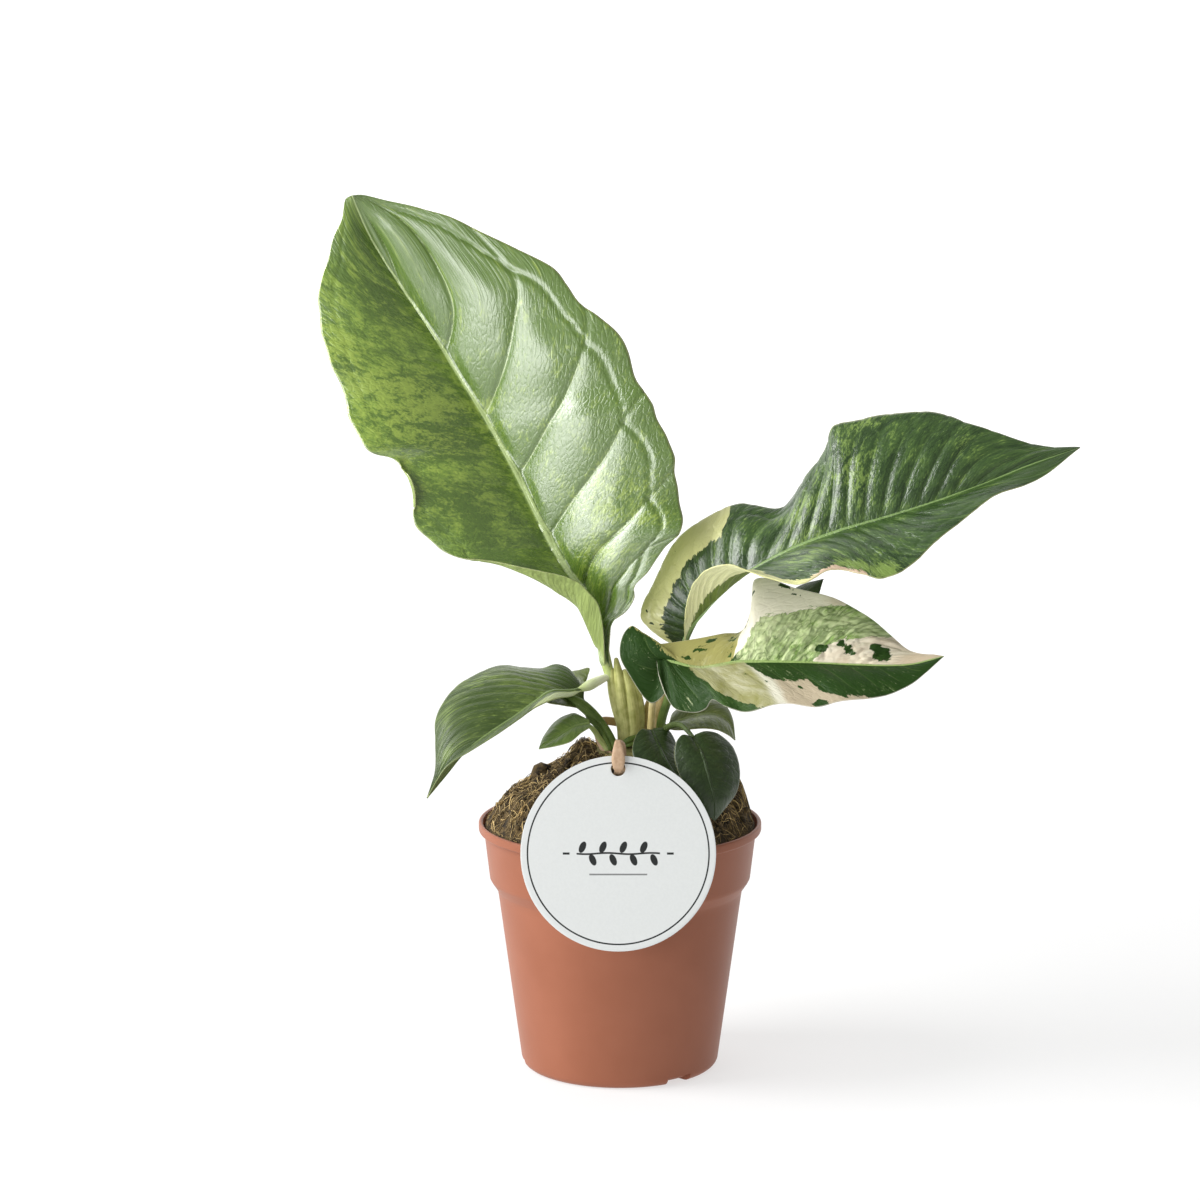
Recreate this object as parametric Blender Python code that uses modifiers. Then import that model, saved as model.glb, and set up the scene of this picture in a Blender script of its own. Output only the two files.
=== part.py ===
"""Potted anthurium: a variegated plant in a 12 cm nursery pot, with a round tag card.

The plant stands at the origin, which is the centre of the pot's flat underside. +Z is up, and
-Y is the front, where the card leans on the lip. Dimensions are written in millimetres, and
every object is made in metres.
"""
import bmesh
import bpy
import numpy as np
from math import cos, pi, radians, sin

MM = 0.001
GAP = 0.3                       # clearance between solids that touch

# Pot
POT_HEIGHT = 106.5
LIP_RADIUS = 60.0
LIP_HEIGHT = 4.0
LIP_INNER_RADIUS = 58.2
LIP_EDGE = 0.8                  # bevel on the lip's outer edges
COLLAR_TOP_RADIUS = 57.7
COLLAR_BOTTOM_RADIUS = 55.4
COLLAR_BOTTOM = 82.0
STEP_RADIUS = 52.0              # wall just under the sloping step
STEP_BOTTOM = 77.0
FOOT_RADIUS = 41.6              # the wall's radius if it ran straight to the ground
FOOT_ROUNDING = 4.0
WALL = 1.3
FLOOR = 1.5
INSIDE_CORNER = 2.5             # slope between the wall and the floor inside
DRAIN_ANGLES = (-53.0, 67.0, 187.0)
DRAIN_INNER = 32.0
DRAIN_WIDTH = 11.0
DRAIN_HEIGHT = 3.5
DRAIN_HOLE_RADIUS = 2.5
DRAIN_HOLE_FROM_AXIS = 35.8

# Potting mix and the plant's short stem
MIX_EDGE_HEIGHT = 104.8
MIX_EDGE_RADIUS = 57.2
MIX_PEAK_HEIGHT = 137.0
MIX_FLOOR_RADIUS = 26.0         # inside this the mix rests on the pot's floor
MIX_CORNER_HEIGHT = 7.0         # outside it the mix clears the drain pockets
CROWN_CENTRE = (4.5, -1.5)
CROWN_RADIUS = 16.0
CROWN_TOP = 139.0
CROWN_BOTTOM = 124.0
STALK_FOOT = CROWN_TOP + GAP    # every shoot and petiole from the crown starts here

# Tag card
CARD_RADIUS = 40.2
CARD_THICKNESS = 0.8
CARD_LEAN = 12.0                # degrees, top edge towards the plant
CARD_CENTRE_X = -1.0
CARD_CENTRE_HEIGHT = 107.0
CARD_HOLE_RADIUS = 3.0
CARD_HOLE_FROM_CENTRE = 34.8
BAND_WIDTH = 4.6
BAND_THICKNESS = 1.0

BLADE_THICKNESS = 0.8


# ---------------------------------------------------------------- scene and materials

def clear_scene():
    for item in list(bpy.data.objects):
        bpy.data.objects.remove(item, do_unlink=True)


def new_collection(name):
    collection = bpy.data.collections.new(name)
    bpy.context.scene.collection.children.link(collection)
    return collection


def new_material(name, colour, roughness):
    material = bpy.data.materials.new(name)
    material.use_nodes = True
    shader = material.node_tree.nodes["Principled BSDF"]
    shader.inputs["Base Color"].default_value = (*colour, 1.0)
    shader.inputs["Roughness"].default_value = roughness
    return material


clear_scene()
PARTS = new_collection("potted_anthurium")
CUTTERS = new_collection("cutters")

TERRACOTTA = new_material("terracotta_plastic", (0.46, 0.20, 0.13), 0.55)
PEAT = new_material("peat_and_coir", (0.09, 0.055, 0.03), 0.95)
SHEATH = new_material("pale_sheath", (0.55, 0.56, 0.24), 0.45)
OCHRE_SHEATH = new_material("ochre_sheath", (0.42, 0.36, 0.14), 0.5)
GREEN_STALK = new_material("green_stalk", (0.13, 0.21, 0.05), 0.4)
LIGHT_STALK = new_material("light_green_stalk", (0.33, 0.42, 0.12), 0.4)
CREAM_STALK = new_material("cream_stalk", (0.66, 0.68, 0.42), 0.4)
LIGHT_BLADE = new_material("light_green_blade", (0.22, 0.38, 0.08), 0.35)
DARK_BLADE = new_material("dark_green_blade", (0.045, 0.13, 0.03), 0.3)
CREAM_BLADE = new_material("cream_marbled_blade", (0.52, 0.52, 0.30), 0.35)
WHITE_CARD = new_material("white_card", (0.80, 0.82, 0.80), 0.6)
TAN_BAND = new_material("tan_band", (0.52, 0.33, 0.20), 0.6)


# ---------------------------------------------------------------- shape helpers

def add_mesh(name, mesh, material, collection=PARTS):
    item = bpy.data.objects.new(name, mesh)
    item.data.materials.append(material)
    collection.objects.link(item)
    return item


def as_guide(item):
    """Mark a cutter, so that it is seen as wire and left out of the part."""
    item.hide_render = True
    item.display_type = "WIRE"
    return item


def smooth(item, angle=35.0):
    item.data.shade_smooth()
    item.data.set_sharp_from_angle(angle=radians(angle))


def turned(name, profile, steps, material, collection=PARTS):
    """A profile of (radius, height) points, top to bottom, turned about the Z axis."""
    points = [(radius * MM, 0.0, height * MM) for radius, height in profile]
    edges = [(i, i + 1) for i in range(len(points) - 1)]
    mesh = bpy.data.meshes.new(name)
    mesh.from_pydata(points, edges, [])
    item = add_mesh(name, mesh, material, collection)
    screw = item.modifiers.new("turn", "SCREW")
    screw.axis = "Z"
    screw.steps = steps
    screw.render_steps = steps
    screw.use_merge_vertices = True
    screw.merge_threshold = 0.00001
    screw.use_smooth_shade = True
    return item


def cut(item, cutter):
    boolean = item.modifiers.new(cutter.name, "BOOLEAN")
    boolean.operation = "DIFFERENCE"
    boolean.solver = "EXACT"
    boolean.object = cutter


def box_cutter(name, low, high, turn=0.0):
    """A box between two corners, turned about the Z axis by an angle in degrees."""
    mesh = bpy.data.meshes.new(name)
    bm = bmesh.new()
    bmesh.ops.create_cube(bm, size=1.0)
    size = [(b - a) * MM for a, b in zip(low, high)]
    middle = [(a + b) / 2 * MM for a, b in zip(low, high)]
    bmesh.ops.scale(bm, vec=size, verts=bm.verts)
    bmesh.ops.translate(bm, vec=middle, verts=bm.verts)
    bm.to_mesh(mesh)
    bm.free()
    item = as_guide(add_mesh(name, mesh, TERRACOTTA, CUTTERS))
    item.rotation_euler.z = radians(turn)
    return item


def disc(name, radius, depth, sides, material, collection=PARTS):
    """A cylinder about the Z axis, centred on the origin."""
    mesh = bpy.data.meshes.new(name)
    bm = bmesh.new()
    bmesh.ops.create_cone(bm, cap_ends=True, segments=sides, radius1=radius * MM,
                          radius2=radius * MM, depth=depth * MM)
    bm.to_mesh(mesh)
    bm.free()
    return add_mesh(name, mesh, material, collection)


def curve_through(points, where):
    """A smooth curve through points given as rows of (parameter, x, y, z, ...).

    Each stretch is a cubic Hermite curve, whose slope at a point is that of the chord between
    the point's two neighbours. Returns the curve's coordinates at the parameters in where.
    """
    rows = np.array(points, dtype=float)
    at, values = rows[:, 0], rows[:, 1:]
    slopes = np.empty_like(values)
    slopes[1:-1] = (values[2:] - values[:-2]) / (at[2:] - at[:-2])[:, None]
    slopes[0] = (values[1] - values[0]) / (at[1] - at[0])
    slopes[-1] = (values[-1] - values[-2]) / (at[-1] - at[-2])
    where = np.asarray(where, dtype=float)
    k = np.clip(np.searchsorted(at, where, side="right") - 1, 0, len(at) - 2)
    span = (at[k + 1] - at[k])[..., None]
    u = ((where - at[k])[..., None]) / span
    return ((2 * u ** 3 - 3 * u ** 2 + 1) * values[k]
            + (u ** 3 - 2 * u ** 2 + u) * span * slopes[k]
            + (3 * u ** 2 - 2 * u ** 3) * values[k + 1]
            + (u ** 3 - u ** 2) * span * slopes[k + 1])


def evenly(points):
    """Number route points 0 to 1 by the length run so far, as curve_through reads them."""
    rows = np.array(points, dtype=float)
    steps = np.linalg.norm(np.diff(rows[:, :3], axis=0), axis=1)
    run = np.concatenate([[0.0], np.cumsum(steps)])
    return np.column_stack([run / run[-1], rows])


def mapped_grid(name, surface, cells):
    """A grid over the unit square, moved onto surface(u, v); rows that meet are welded."""
    mesh = bpy.data.meshes.new(name)
    bm = bmesh.new()
    bmesh.ops.create_grid(bm, x_segments=cells[0], y_segments=cells[1], size=0.5)
    flat = np.array([vertex.co for vertex in bm.verts])
    placed = surface(flat[:, 0] + 0.5, flat[:, 1] + 0.5) * MM
    for vertex, place in zip(bm.verts, placed):
        vertex.co = place
    bmesh.ops.remove_doubles(bm, verts=bm.verts, dist=0.00003)
    bm.to_mesh(mesh)
    bm.free()
    return mesh


def sheet(name, surface, cells, thickness, material):
    """A thin solid: an open surface of (u, v) with Solidify, half its thickness each side."""
    item = add_mesh(name, mapped_grid(name, surface, cells), material)
    solidify = item.modifiers.new("thickness", "SOLIDIFY")
    solidify.thickness = thickness * MM
    solidify.offset = 0.0
    smooth(item, 60.0)
    return item


def stalk(name, route, material, rings=8, on_crown=True):
    """A tapering stem along route points of (x, y, z, radius), as a bevelled curve.

    One that grows from the crown first stands upright on it, with a level foot.
    """
    rows = curve_through(evenly(route), np.linspace(0.0, 1.0, rings))
    if on_crown:
        foot = (rows[0, 0], rows[0, 1], STALK_FOOT, rows[0, 3])
        rows = np.vstack([foot, rows])
    curve = bpy.data.curves.new(name, "CURVE")
    curve.dimensions = "3D"
    curve.bevel_depth = MM
    curve.bevel_resolution = 2
    curve.use_fill_caps = True
    spline = curve.splines.new("POLY")
    spline.points.add(len(rows) - 1)
    for point, row in zip(spline.points, rows):
        point.co = (*(row[:3] * MM), 1.0)
        point.radius = row[3]
    curve.materials.append(material)
    item = bpy.data.objects.new(name, curve)
    PARTS.objects.link(item)
    return item


def blade(name, midrib, left, right, cells, material, arch=0.08):
    """A leaf blade between three curves of (parameter, x, y, z) from its base to its tip.

    At each parameter a rib runs from the left margin through the midrib to the right margin,
    and each half of the rib bows up from its chord as a parabola, arch times its length high.
    """
    def surface(u, v):
        middle = curve_through(midrib, u)
        left_edge = curve_through(left, u)
        right_edge = curve_through(right, u)
        across = 2.0 * v - 1.0
        half = np.where((across < 0)[:, None], left_edge, right_edge) - middle
        along = curve_through(midrib, np.minimum(u + 0.02, 1.0)) \
            - curve_through(midrib, np.maximum(u - 0.02, 0.0))
        up = np.cross(along, left_edge - right_edge)
        up /= np.linalg.norm(up, axis=1)[:, None] + 1e-9
        out = np.abs(across)[:, None]
        width = np.linalg.norm(half, axis=1)[:, None]
        return middle + out * half + up * width * arch * 4.0 * out * (1.0 - out)

    return sheet(name, surface, cells, BLADE_THICKNESS, material)


# ---------------------------------------------------------------- pot

def outer_wall(height):
    """The outer radius of the tapered wall at a height below the step."""
    return FOOT_RADIUS + (STEP_RADIUS - FOOT_RADIUS) * height / STEP_BOTTOM


def foot_rounding(radius, start, turns=4):
    """Points round the foot's corner, from the wall down to the ground."""
    centre = outer_wall(start) - radius
    angles = [i * pi / 2 / turns for i in range(turns + 1)]
    return [(centre + radius * cos(a), start - radius * sin(a)) for a in angles]


def make_pot():
    lip_bottom = POT_HEIGHT - LIP_HEIGHT
    outside = [(0.0, POT_HEIGHT), (LIP_RADIUS - LIP_EDGE, POT_HEIGHT),
               (LIP_RADIUS, POT_HEIGHT - LIP_EDGE), (LIP_RADIUS, lip_bottom + LIP_EDGE),
               (LIP_RADIUS - LIP_EDGE, lip_bottom), (COLLAR_TOP_RADIUS, lip_bottom - 0.4),
               (COLLAR_BOTTOM_RADIUS, COLLAR_BOTTOM), (STEP_RADIUS, STEP_BOTTOM)]
    outside += foot_rounding(FOOT_ROUNDING, FOOT_ROUNDING) + [(0.0, 0.0)]
    pot = turned("pot", outside, 56, TERRACOTTA)

    corner = FLOOR + INSIDE_CORNER
    inside = [(0.0, POT_HEIGHT + 2.0), (LIP_INNER_RADIUS, POT_HEIGHT + 2.0),
              (LIP_INNER_RADIUS, POT_HEIGHT - 1.0),
              (COLLAR_TOP_RADIUS - WALL, lip_bottom - 1.0),
              (COLLAR_BOTTOM_RADIUS - WALL, COLLAR_BOTTOM + 0.6),
              (STEP_RADIUS - WALL, STEP_BOTTOM + 0.6), (outer_wall(corner) - WALL, corner),
              (outer_wall(corner) - WALL - INSIDE_CORNER, FLOOR), (0.0, FLOOR)]
    cavity = as_guide(turned("cavity", inside, 56, TERRACOTTA, CUTTERS))
    half = DRAIN_WIDTH / 2
    notches = []
    for i, angle in enumerate(DRAIN_ANGLES):
        pocket = box_cutter(f"drain_pocket_{i + 1}", (DRAIN_INNER - WALL, -half - WALL, -2.0),
                            (60.0, half + WALL, DRAIN_HEIGHT + WALL), angle)
        cut(cavity, pocket)
        notches.append(box_cutter(f"drain_notch_{i + 1}", (DRAIN_INNER, -half, -2.0),
                                  (60.0, half, DRAIN_HEIGHT), angle))
    cut(pot, cavity)
    for notch in notches:
        cut(pot, notch)
    for i, angle in enumerate(DRAIN_ANGLES):
        hole = as_guide(disc(f"drain_hole_{i + 1}", DRAIN_HOLE_RADIUS, 12.0, 12, TERRACOTTA,
                             CUTTERS))
        out = DRAIN_HOLE_FROM_AXIS * MM
        hole.location = (out * cos(radians(angle)), out * sin(radians(angle)), 0.0)
        cut(pot, hole)


# ---------------------------------------------------------------- potting mix and crown

def mix_height(x, y):
    """The mound's height: a slope from the lip to the crown, two banks, and lumps."""
    radius = np.hypot(x, y)
    slope = np.interp(radius, [0, 13, 20, 28, 37, 45, 52, MIX_EDGE_RADIUS],
                      [MIX_PEAK_HEIGHT, 136.5, 133.5, 129.0, 123.5, 118.5, 112.0,
                       MIX_EDGE_HEIGHT])
    bank = 10.0 * np.exp(-((x - 50.0) / 9.0) ** 2 - ((y - 9.0) / 15.0) ** 2) \
        + 4.5 * np.exp(-((x + 16.0) / 6.0) ** 2 - ((y - 3.0) / 9.0) ** 2)
    lumps = 1.3 * np.sin(0.31 * x + 0.6) * np.sin(0.27 * y + 1.1) \
        + 0.8 * np.sin(0.55 * x - 0.38 * y)
    inside = np.clip((MIX_EDGE_RADIUS - radius) / 6.0, 0.0, 1.0)
    return slope + (bank + lumps) * inside


def make_potting_mix():
    """One closed body: up its profile (v) from the floor to the peak, and round (u)."""
    step_in = STEP_RADIUS - WALL - GAP
    side = [(0.0, 0.0, FLOOR + GAP), (0.1, MIX_FLOOR_RADIUS, FLOOR + GAP),
            (0.15, DRAIN_INNER - WALL - 1.0, DRAIN_HEIGHT + WALL + 0.6),
            (0.2, outer_wall(MIX_CORNER_HEIGHT) - WALL - GAP - 0.3, MIX_CORNER_HEIGHT),
            (0.3, step_in, STEP_BOTTOM + 0.2),
            (0.35, COLLAR_BOTTOM_RADIUS - WALL - GAP - 0.3, COLLAR_BOTTOM + 1.0),
            (0.45, COLLAR_TOP_RADIUS - WALL - GAP - 0.3, POT_HEIGHT - LIP_HEIGHT - 2.0),
            (0.5, MIX_EDGE_RADIUS, MIX_EDGE_HEIGHT)]
    at, radii, heights = np.array(side).T

    def surface(u, v):
        radius = np.where(v <= 0.5, np.interp(v, at, radii),
                          MIX_EDGE_RADIUS * (1.0 - v) / 0.5)
        x = radius * np.cos(2 * pi * u)
        y = radius * np.sin(2 * pi * u)
        z = np.where(v <= 0.5, np.interp(v, at, heights), mix_height(x, y))
        return np.column_stack([x, y, z])

    mix = add_mesh("potting_mix", mapped_grid("potting_mix", surface, (36, 20)), PEAT)
    smooth(mix, 50.0)
    pocket = as_guide(disc("crown_pocket", CROWN_RADIUS + GAP, 60.0, 28, PEAT, CUTTERS))
    bottom = CROWN_BOTTOM - GAP
    pocket.location = (CROWN_CENTRE[0] * MM, CROWN_CENTRE[1] * MM, (bottom + 30.0) * MM)
    cut(mix, pocket)


def make_crown():
    r = CROWN_RADIUS
    profile = [(0.0, CROWN_TOP), (r - 2.0, CROWN_TOP), (r - 0.5, CROWN_TOP - 1.0),
               (r, CROWN_TOP - 3.0), (r - 1.5, CROWN_BOTTOM + 3.0), (r - 5.0, CROWN_BOTTOM),
               (0.0, CROWN_BOTTOM)]
    crown = turned("crown", profile, 28, OCHRE_SHEATH)
    crown.location = (CROWN_CENTRE[0] * MM, CROWN_CENTRE[1] * MM, 0.0)


# ---------------------------------------------------------------- shoots and petioles

def make_shoots():
    stalk("main_shoot", [(3.0, -2.0, 142.0, 4.9), (3.0, -2.0, 148.0, 5.2),
                         (0.5, -2.0, 159.0, 4.7), (-1.2, -2.0, 167.5, 4.2)], SHEATH)
    stalk("side_shoot", [(13.4, 4.0, 142.0, 3.2), (14.2, 3.6, 150.0, 3.6),
                         (16.5, 2.5, 162.0, 2.4)], OCHRE_SHEATH, 6)
    stalk("leaf_scale", [(1.2, -8.3, 140.3, 0.6), (3.8, -8.9, 141.2, 0.9),
                         (6.2, -8.2, 142.0, 0.8), (7.6, -6.8, 143.2, 0.4)], GREEN_STALK, 6)


def make_petioles():
    stalk("large_leaf_petiole", [(-4.2, -2.0, 168.0, 2.3), (-5.2, -1.6, 170.0, 2.1),
                                 (-5.8, -1.3, 171.4, 2.0)], LIGHT_STALK, 4, on_crown=False)
    stalk("left_petiole", [(-5.1, -4.4, 165.4, 1.8), (-10.5, -7.6, 167.2, 1.7),
                           (-15.2, -9.8, 165.6, 1.4)], CREAM_STALK, 6, on_crown=False)
    stalk("upper_right_petiole", [(17.0, -2.0, 142.0, 2.0), (17.4, -3.0, 150.0, 1.9),
                                  (21.0, -3.0, 162.0, 1.8), (25.9, 0.7, 179.3, 1.6)],
          GREEN_STALK)
    stalk("lower_right_petiole", [(12.6, -8.6, 142.0, 1.6), (13.0, -9.0, 152.0, 1.5),
                                  (14.2, -10.4, 168.0, 1.4), (15.6, -14.7, 179.5, 1.2)],
          CREAM_STALK)
    stalk("under_left_petiole", [(-4.0, -11.4, 141.6, 1.7), (-7.4, -10.0, 147.0, 1.6),
                                 (-10.8, -8.0, 152.6, 2.0), (-12.6, -5.4, 155.0, 1.5)],
          GREEN_STALK)
    stalk("small_left_petiole", [(-7.6, -9.6, 141.0, 1.0), (-10.0, -12.4, 145.0, 0.9),
                                 (-12.2, -15.4, 151.4, 0.8)], LIGHT_STALK, 6)
    stalk("front_petiole", [(11.4, -13.0, 141.2, 1.3), (11.8, -13.0, 144.0, 1.2),
                            (12.8, -14.6, 148.4, 1.1)], GREEN_STALK, 5)
    stalk("hanging_petiole", [(16.4, -8.0, 141.6, 1.5), (19.0, -14.0, 149.0, 1.4),
                              (25.0, -23.0, 153.0, 1.4), (29.8, -31.2, 150.1, 1.1)],
          GREEN_STALK)
    stalk("side_petiole", [(14.6, 9.6, 141.2, 1.3), (17.0, 8.4, 144.4, 1.2),
                           (19.3, 6.6, 145.8, 1.1)], GREEN_STALK, 5)
    stalk("rear_petiole", [(8.0, 11.4, 141.6, 1.4), (13.0, 13.0, 152.0, 1.3),
                           (24.0, 18.0, 160.6, 1.3), (37.2, 23.6, 162.6, 1.2)], GREEN_STALK)


# ---------------------------------------------------------------- leaf blades
# Each curve runs from the leaf's base (0) to its tip (1). Left and right are as seen from
# above the leaf, looking from its base to its tip.

def make_large_leaf():
    blade("large_leaf_blade",
          midrib=[(0, -6, -1, 172), (0.08, -7, 0, 184), (0.17, -11, 4, 199),
                  (0.26, -23, 10, 214), (0.36, -33, 17, 231), (0.47, -43, 25, 250),
                  (0.6, -56, 34, 272), (0.71, -69, 41, 292), (0.82, -82, 47, 312),
                  (0.91, -96, 51, 332), (0.96, -107, 53, 350), (1, -114, 50, 367)],
          left=[(0, -8, -2, 173), (0.08, -12, -4, 185), (0.16, -24, -6, 201),
                (0.25, -47, -6, 216), (0.33, -71, -4, 221), (0.4, -86, 0, 235),
                (0.46, -89, 6, 248), (0.52, -93, 14, 258), (0.58, -107, 12, 264),
                (0.63, -114, 18, 276), (0.68, -118, 24, 287), (0.75, -125, 30, 303),
                (0.83, -128, 38, 322), (0.9, -125, 44, 340), (0.96, -119, 48, 356),
                (1, -114, 50, 367)],
          right=[(0, -4, -3, 173), (0.08, -3, -4, 190), (0.15, 1, -6, 199),
                 (0.2, 7, -8, 207), (0.26, 18, -8, 225), (0.33, 26, -8, 233),
                 (0.4, 25, -2, 245), (0.48, 22, 2, 262), (0.56, 14, 6, 282),
                 (0.62, 7, 12, 292), (0.68, 0, 16, 310), (0.75, -16, 24, 324),
                 (0.81, -29, 30, 338), (0.87, -58, 40, 352), (0.93, -83, 46, 362),
                 (0.97, -102, 50, 366), (1, -114, 50, 367)],
          cells=(26, 8), material=LIGHT_BLADE)


def make_upper_right_leaf():
    blade("upper_right_blade",
          midrib=[(0, 26, 1, 180), (0.1, 30, -3, 190), (0.2, 36, -8, 198),
                  (0.3, 43, -12, 206), (0.38, 54, -15, 216), (0.47, 71, -17, 226),
                  (0.57, 91, -18, 234), (0.68, 111, -18, 240), (0.79, 130, -17, 246),
                  (0.89, 150, -15, 253), (0.95, 170, -13, 261), (1, 191, -10, 268)],
          left=[(0, 24, 2, 181), (0.05, 17, 2, 185), (0.1, 12, 3, 189), (0.15, 9, 4, 195),
                (0.21, 13, 6, 207), (0.27, 22, 8, 223), (0.33, 35, 9, 234),
                (0.39, 50, 10, 241), (0.44, 68, 4, 240), (0.5, 78, 6, 254),
                (0.55, 86, 10, 264), (0.61, 91, 12, 274), (0.69, 112, 10, 279),
                (0.77, 135, 6, 280), (0.84, 148, 0, 276), (0.91, 173, -7, 269),
                (1, 191, -10, 268)],
          right=[(0, 28, 0, 181), (0.1, 27, -12, 198), (0.18, 30, -24, 212),
                 (0.25, 35, -31, 220), (0.31, 44, -36, 223), (0.37, 54, -40, 221),
                 (0.43, 73, -46, 217), (0.5, 86, -46, 223), (0.57, 98, -48, 222),
                 (0.63, 107, -50, 220), (0.7, 119, -47, 226), (0.78, 134, -40, 238),
                 (0.87, 152, -31, 250), (0.94, 171, -22, 256), (1, 191, -10, 268)],
          cells=(26, 8), material=DARK_BLADE)


def make_lower_right_leaf():
    """Heart shaped: the margins start at the notch and run back round the two basal lobes."""
    blade("lower_right_blade",
          midrib=[(0, 15, -16, 181), (0.1, 17, -17, 181), (0.2, 22, -19, 179),
                  (0.3, 33, -22, 177), (0.45, 50, -26, 180), (0.6, 74, -31, 181),
                  (0.75, 98, -36, 181), (0.9, 119, -40, 182), (1, 133, -42, 186)],
          left=[(0, 15, -16, 181), (0.03, 17, -20, 173), (0.06, 19, -22, 167),
                (0.085, 14, -22, 162), (0.11, 10, -21, 164), (0.14, 4, -19, 173),
                (0.17, 0, -17, 181), (0.2, 1, -15, 189), (0.23, 5, -13, 193),
                (0.26, 9, -12, 189), (0.29, 13, -12, 185), (0.34, 31, -11, 187),
                (0.38, 43, -9, 189), (0.42, 51, -7, 190), (0.46, 55, -6, 199),
                (0.5, 57, -5, 211), (0.57, 74, -9, 208), (0.65, 89, -14, 205),
                (0.75, 105, -22, 197), (0.85, 118, -30, 187), (0.93, 126, -37, 186),
                (1, 133, -42, 186)],
          right=[(0, 15, -16, 181), (0.05, 16, -25, 174), (0.1, 19, -30, 167),
                 (0.15, 23, -34, 162), (0.2, 30, -36, 161), (0.25, 35, -38, 163),
                 (0.285, 38, -38, 167), (0.32, 43, -42, 165), (0.37, 51, -44, 163),
                 (0.44, 62, -48, 167), (0.5, 69, -50, 168), (0.57, 80, -53, 167),
                 (0.65, 90, -55, 170), (0.75, 103, -54, 171), (0.86, 116, -50, 174),
                 (0.94, 125, -46, 180), (1, 133, -42, 186)],
          cells=(34, 8), material=CREAM_BLADE)


def make_left_leaf():
    blade("left_blade",
          midrib=[(0, -16, -10, 165), (0.12, -21, -14, 165), (0.25, -29, -20, 166),
                  (0.38, -35, -25, 163), (0.52, -43, -30, 158), (0.68, -54, -36, 152),
                  (0.82, -64, -40, 145), (0.92, -72, -43, 136), (1, -80, -46, 127)],
          left=[(0, -16, -11, 165), (0.12, -20, -22, 165), (0.25, -27, -32, 166),
                (0.38, -35, -39, 164), (0.5, -42, -44, 160), (0.62, -50, -47, 155),
                (0.74, -60, -49, 149), (0.85, -71, -50, 142), (0.93, -76, -49, 135),
                (1, -80, -46, 127)],
          right=[(0, -16, -9, 166), (0.05, -19, -6, 170), (0.1, -22, -3, 173),
                 (0.15, -27, -1, 174), (0.22, -33, 1, 172), (0.3, -42, 3, 172),
                 (0.38, -50, 2, 173), (0.46, -59, -2, 171), (0.55, -67, -7, 167),
                 (0.64, -73, -14, 162), (0.73, -77, -22, 155), (0.82, -77, -31, 147),
                 (0.92, -77, -41, 137), (1, -80, -46, 127)],
          cells=(20, 8), material=DARK_BLADE)


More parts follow.
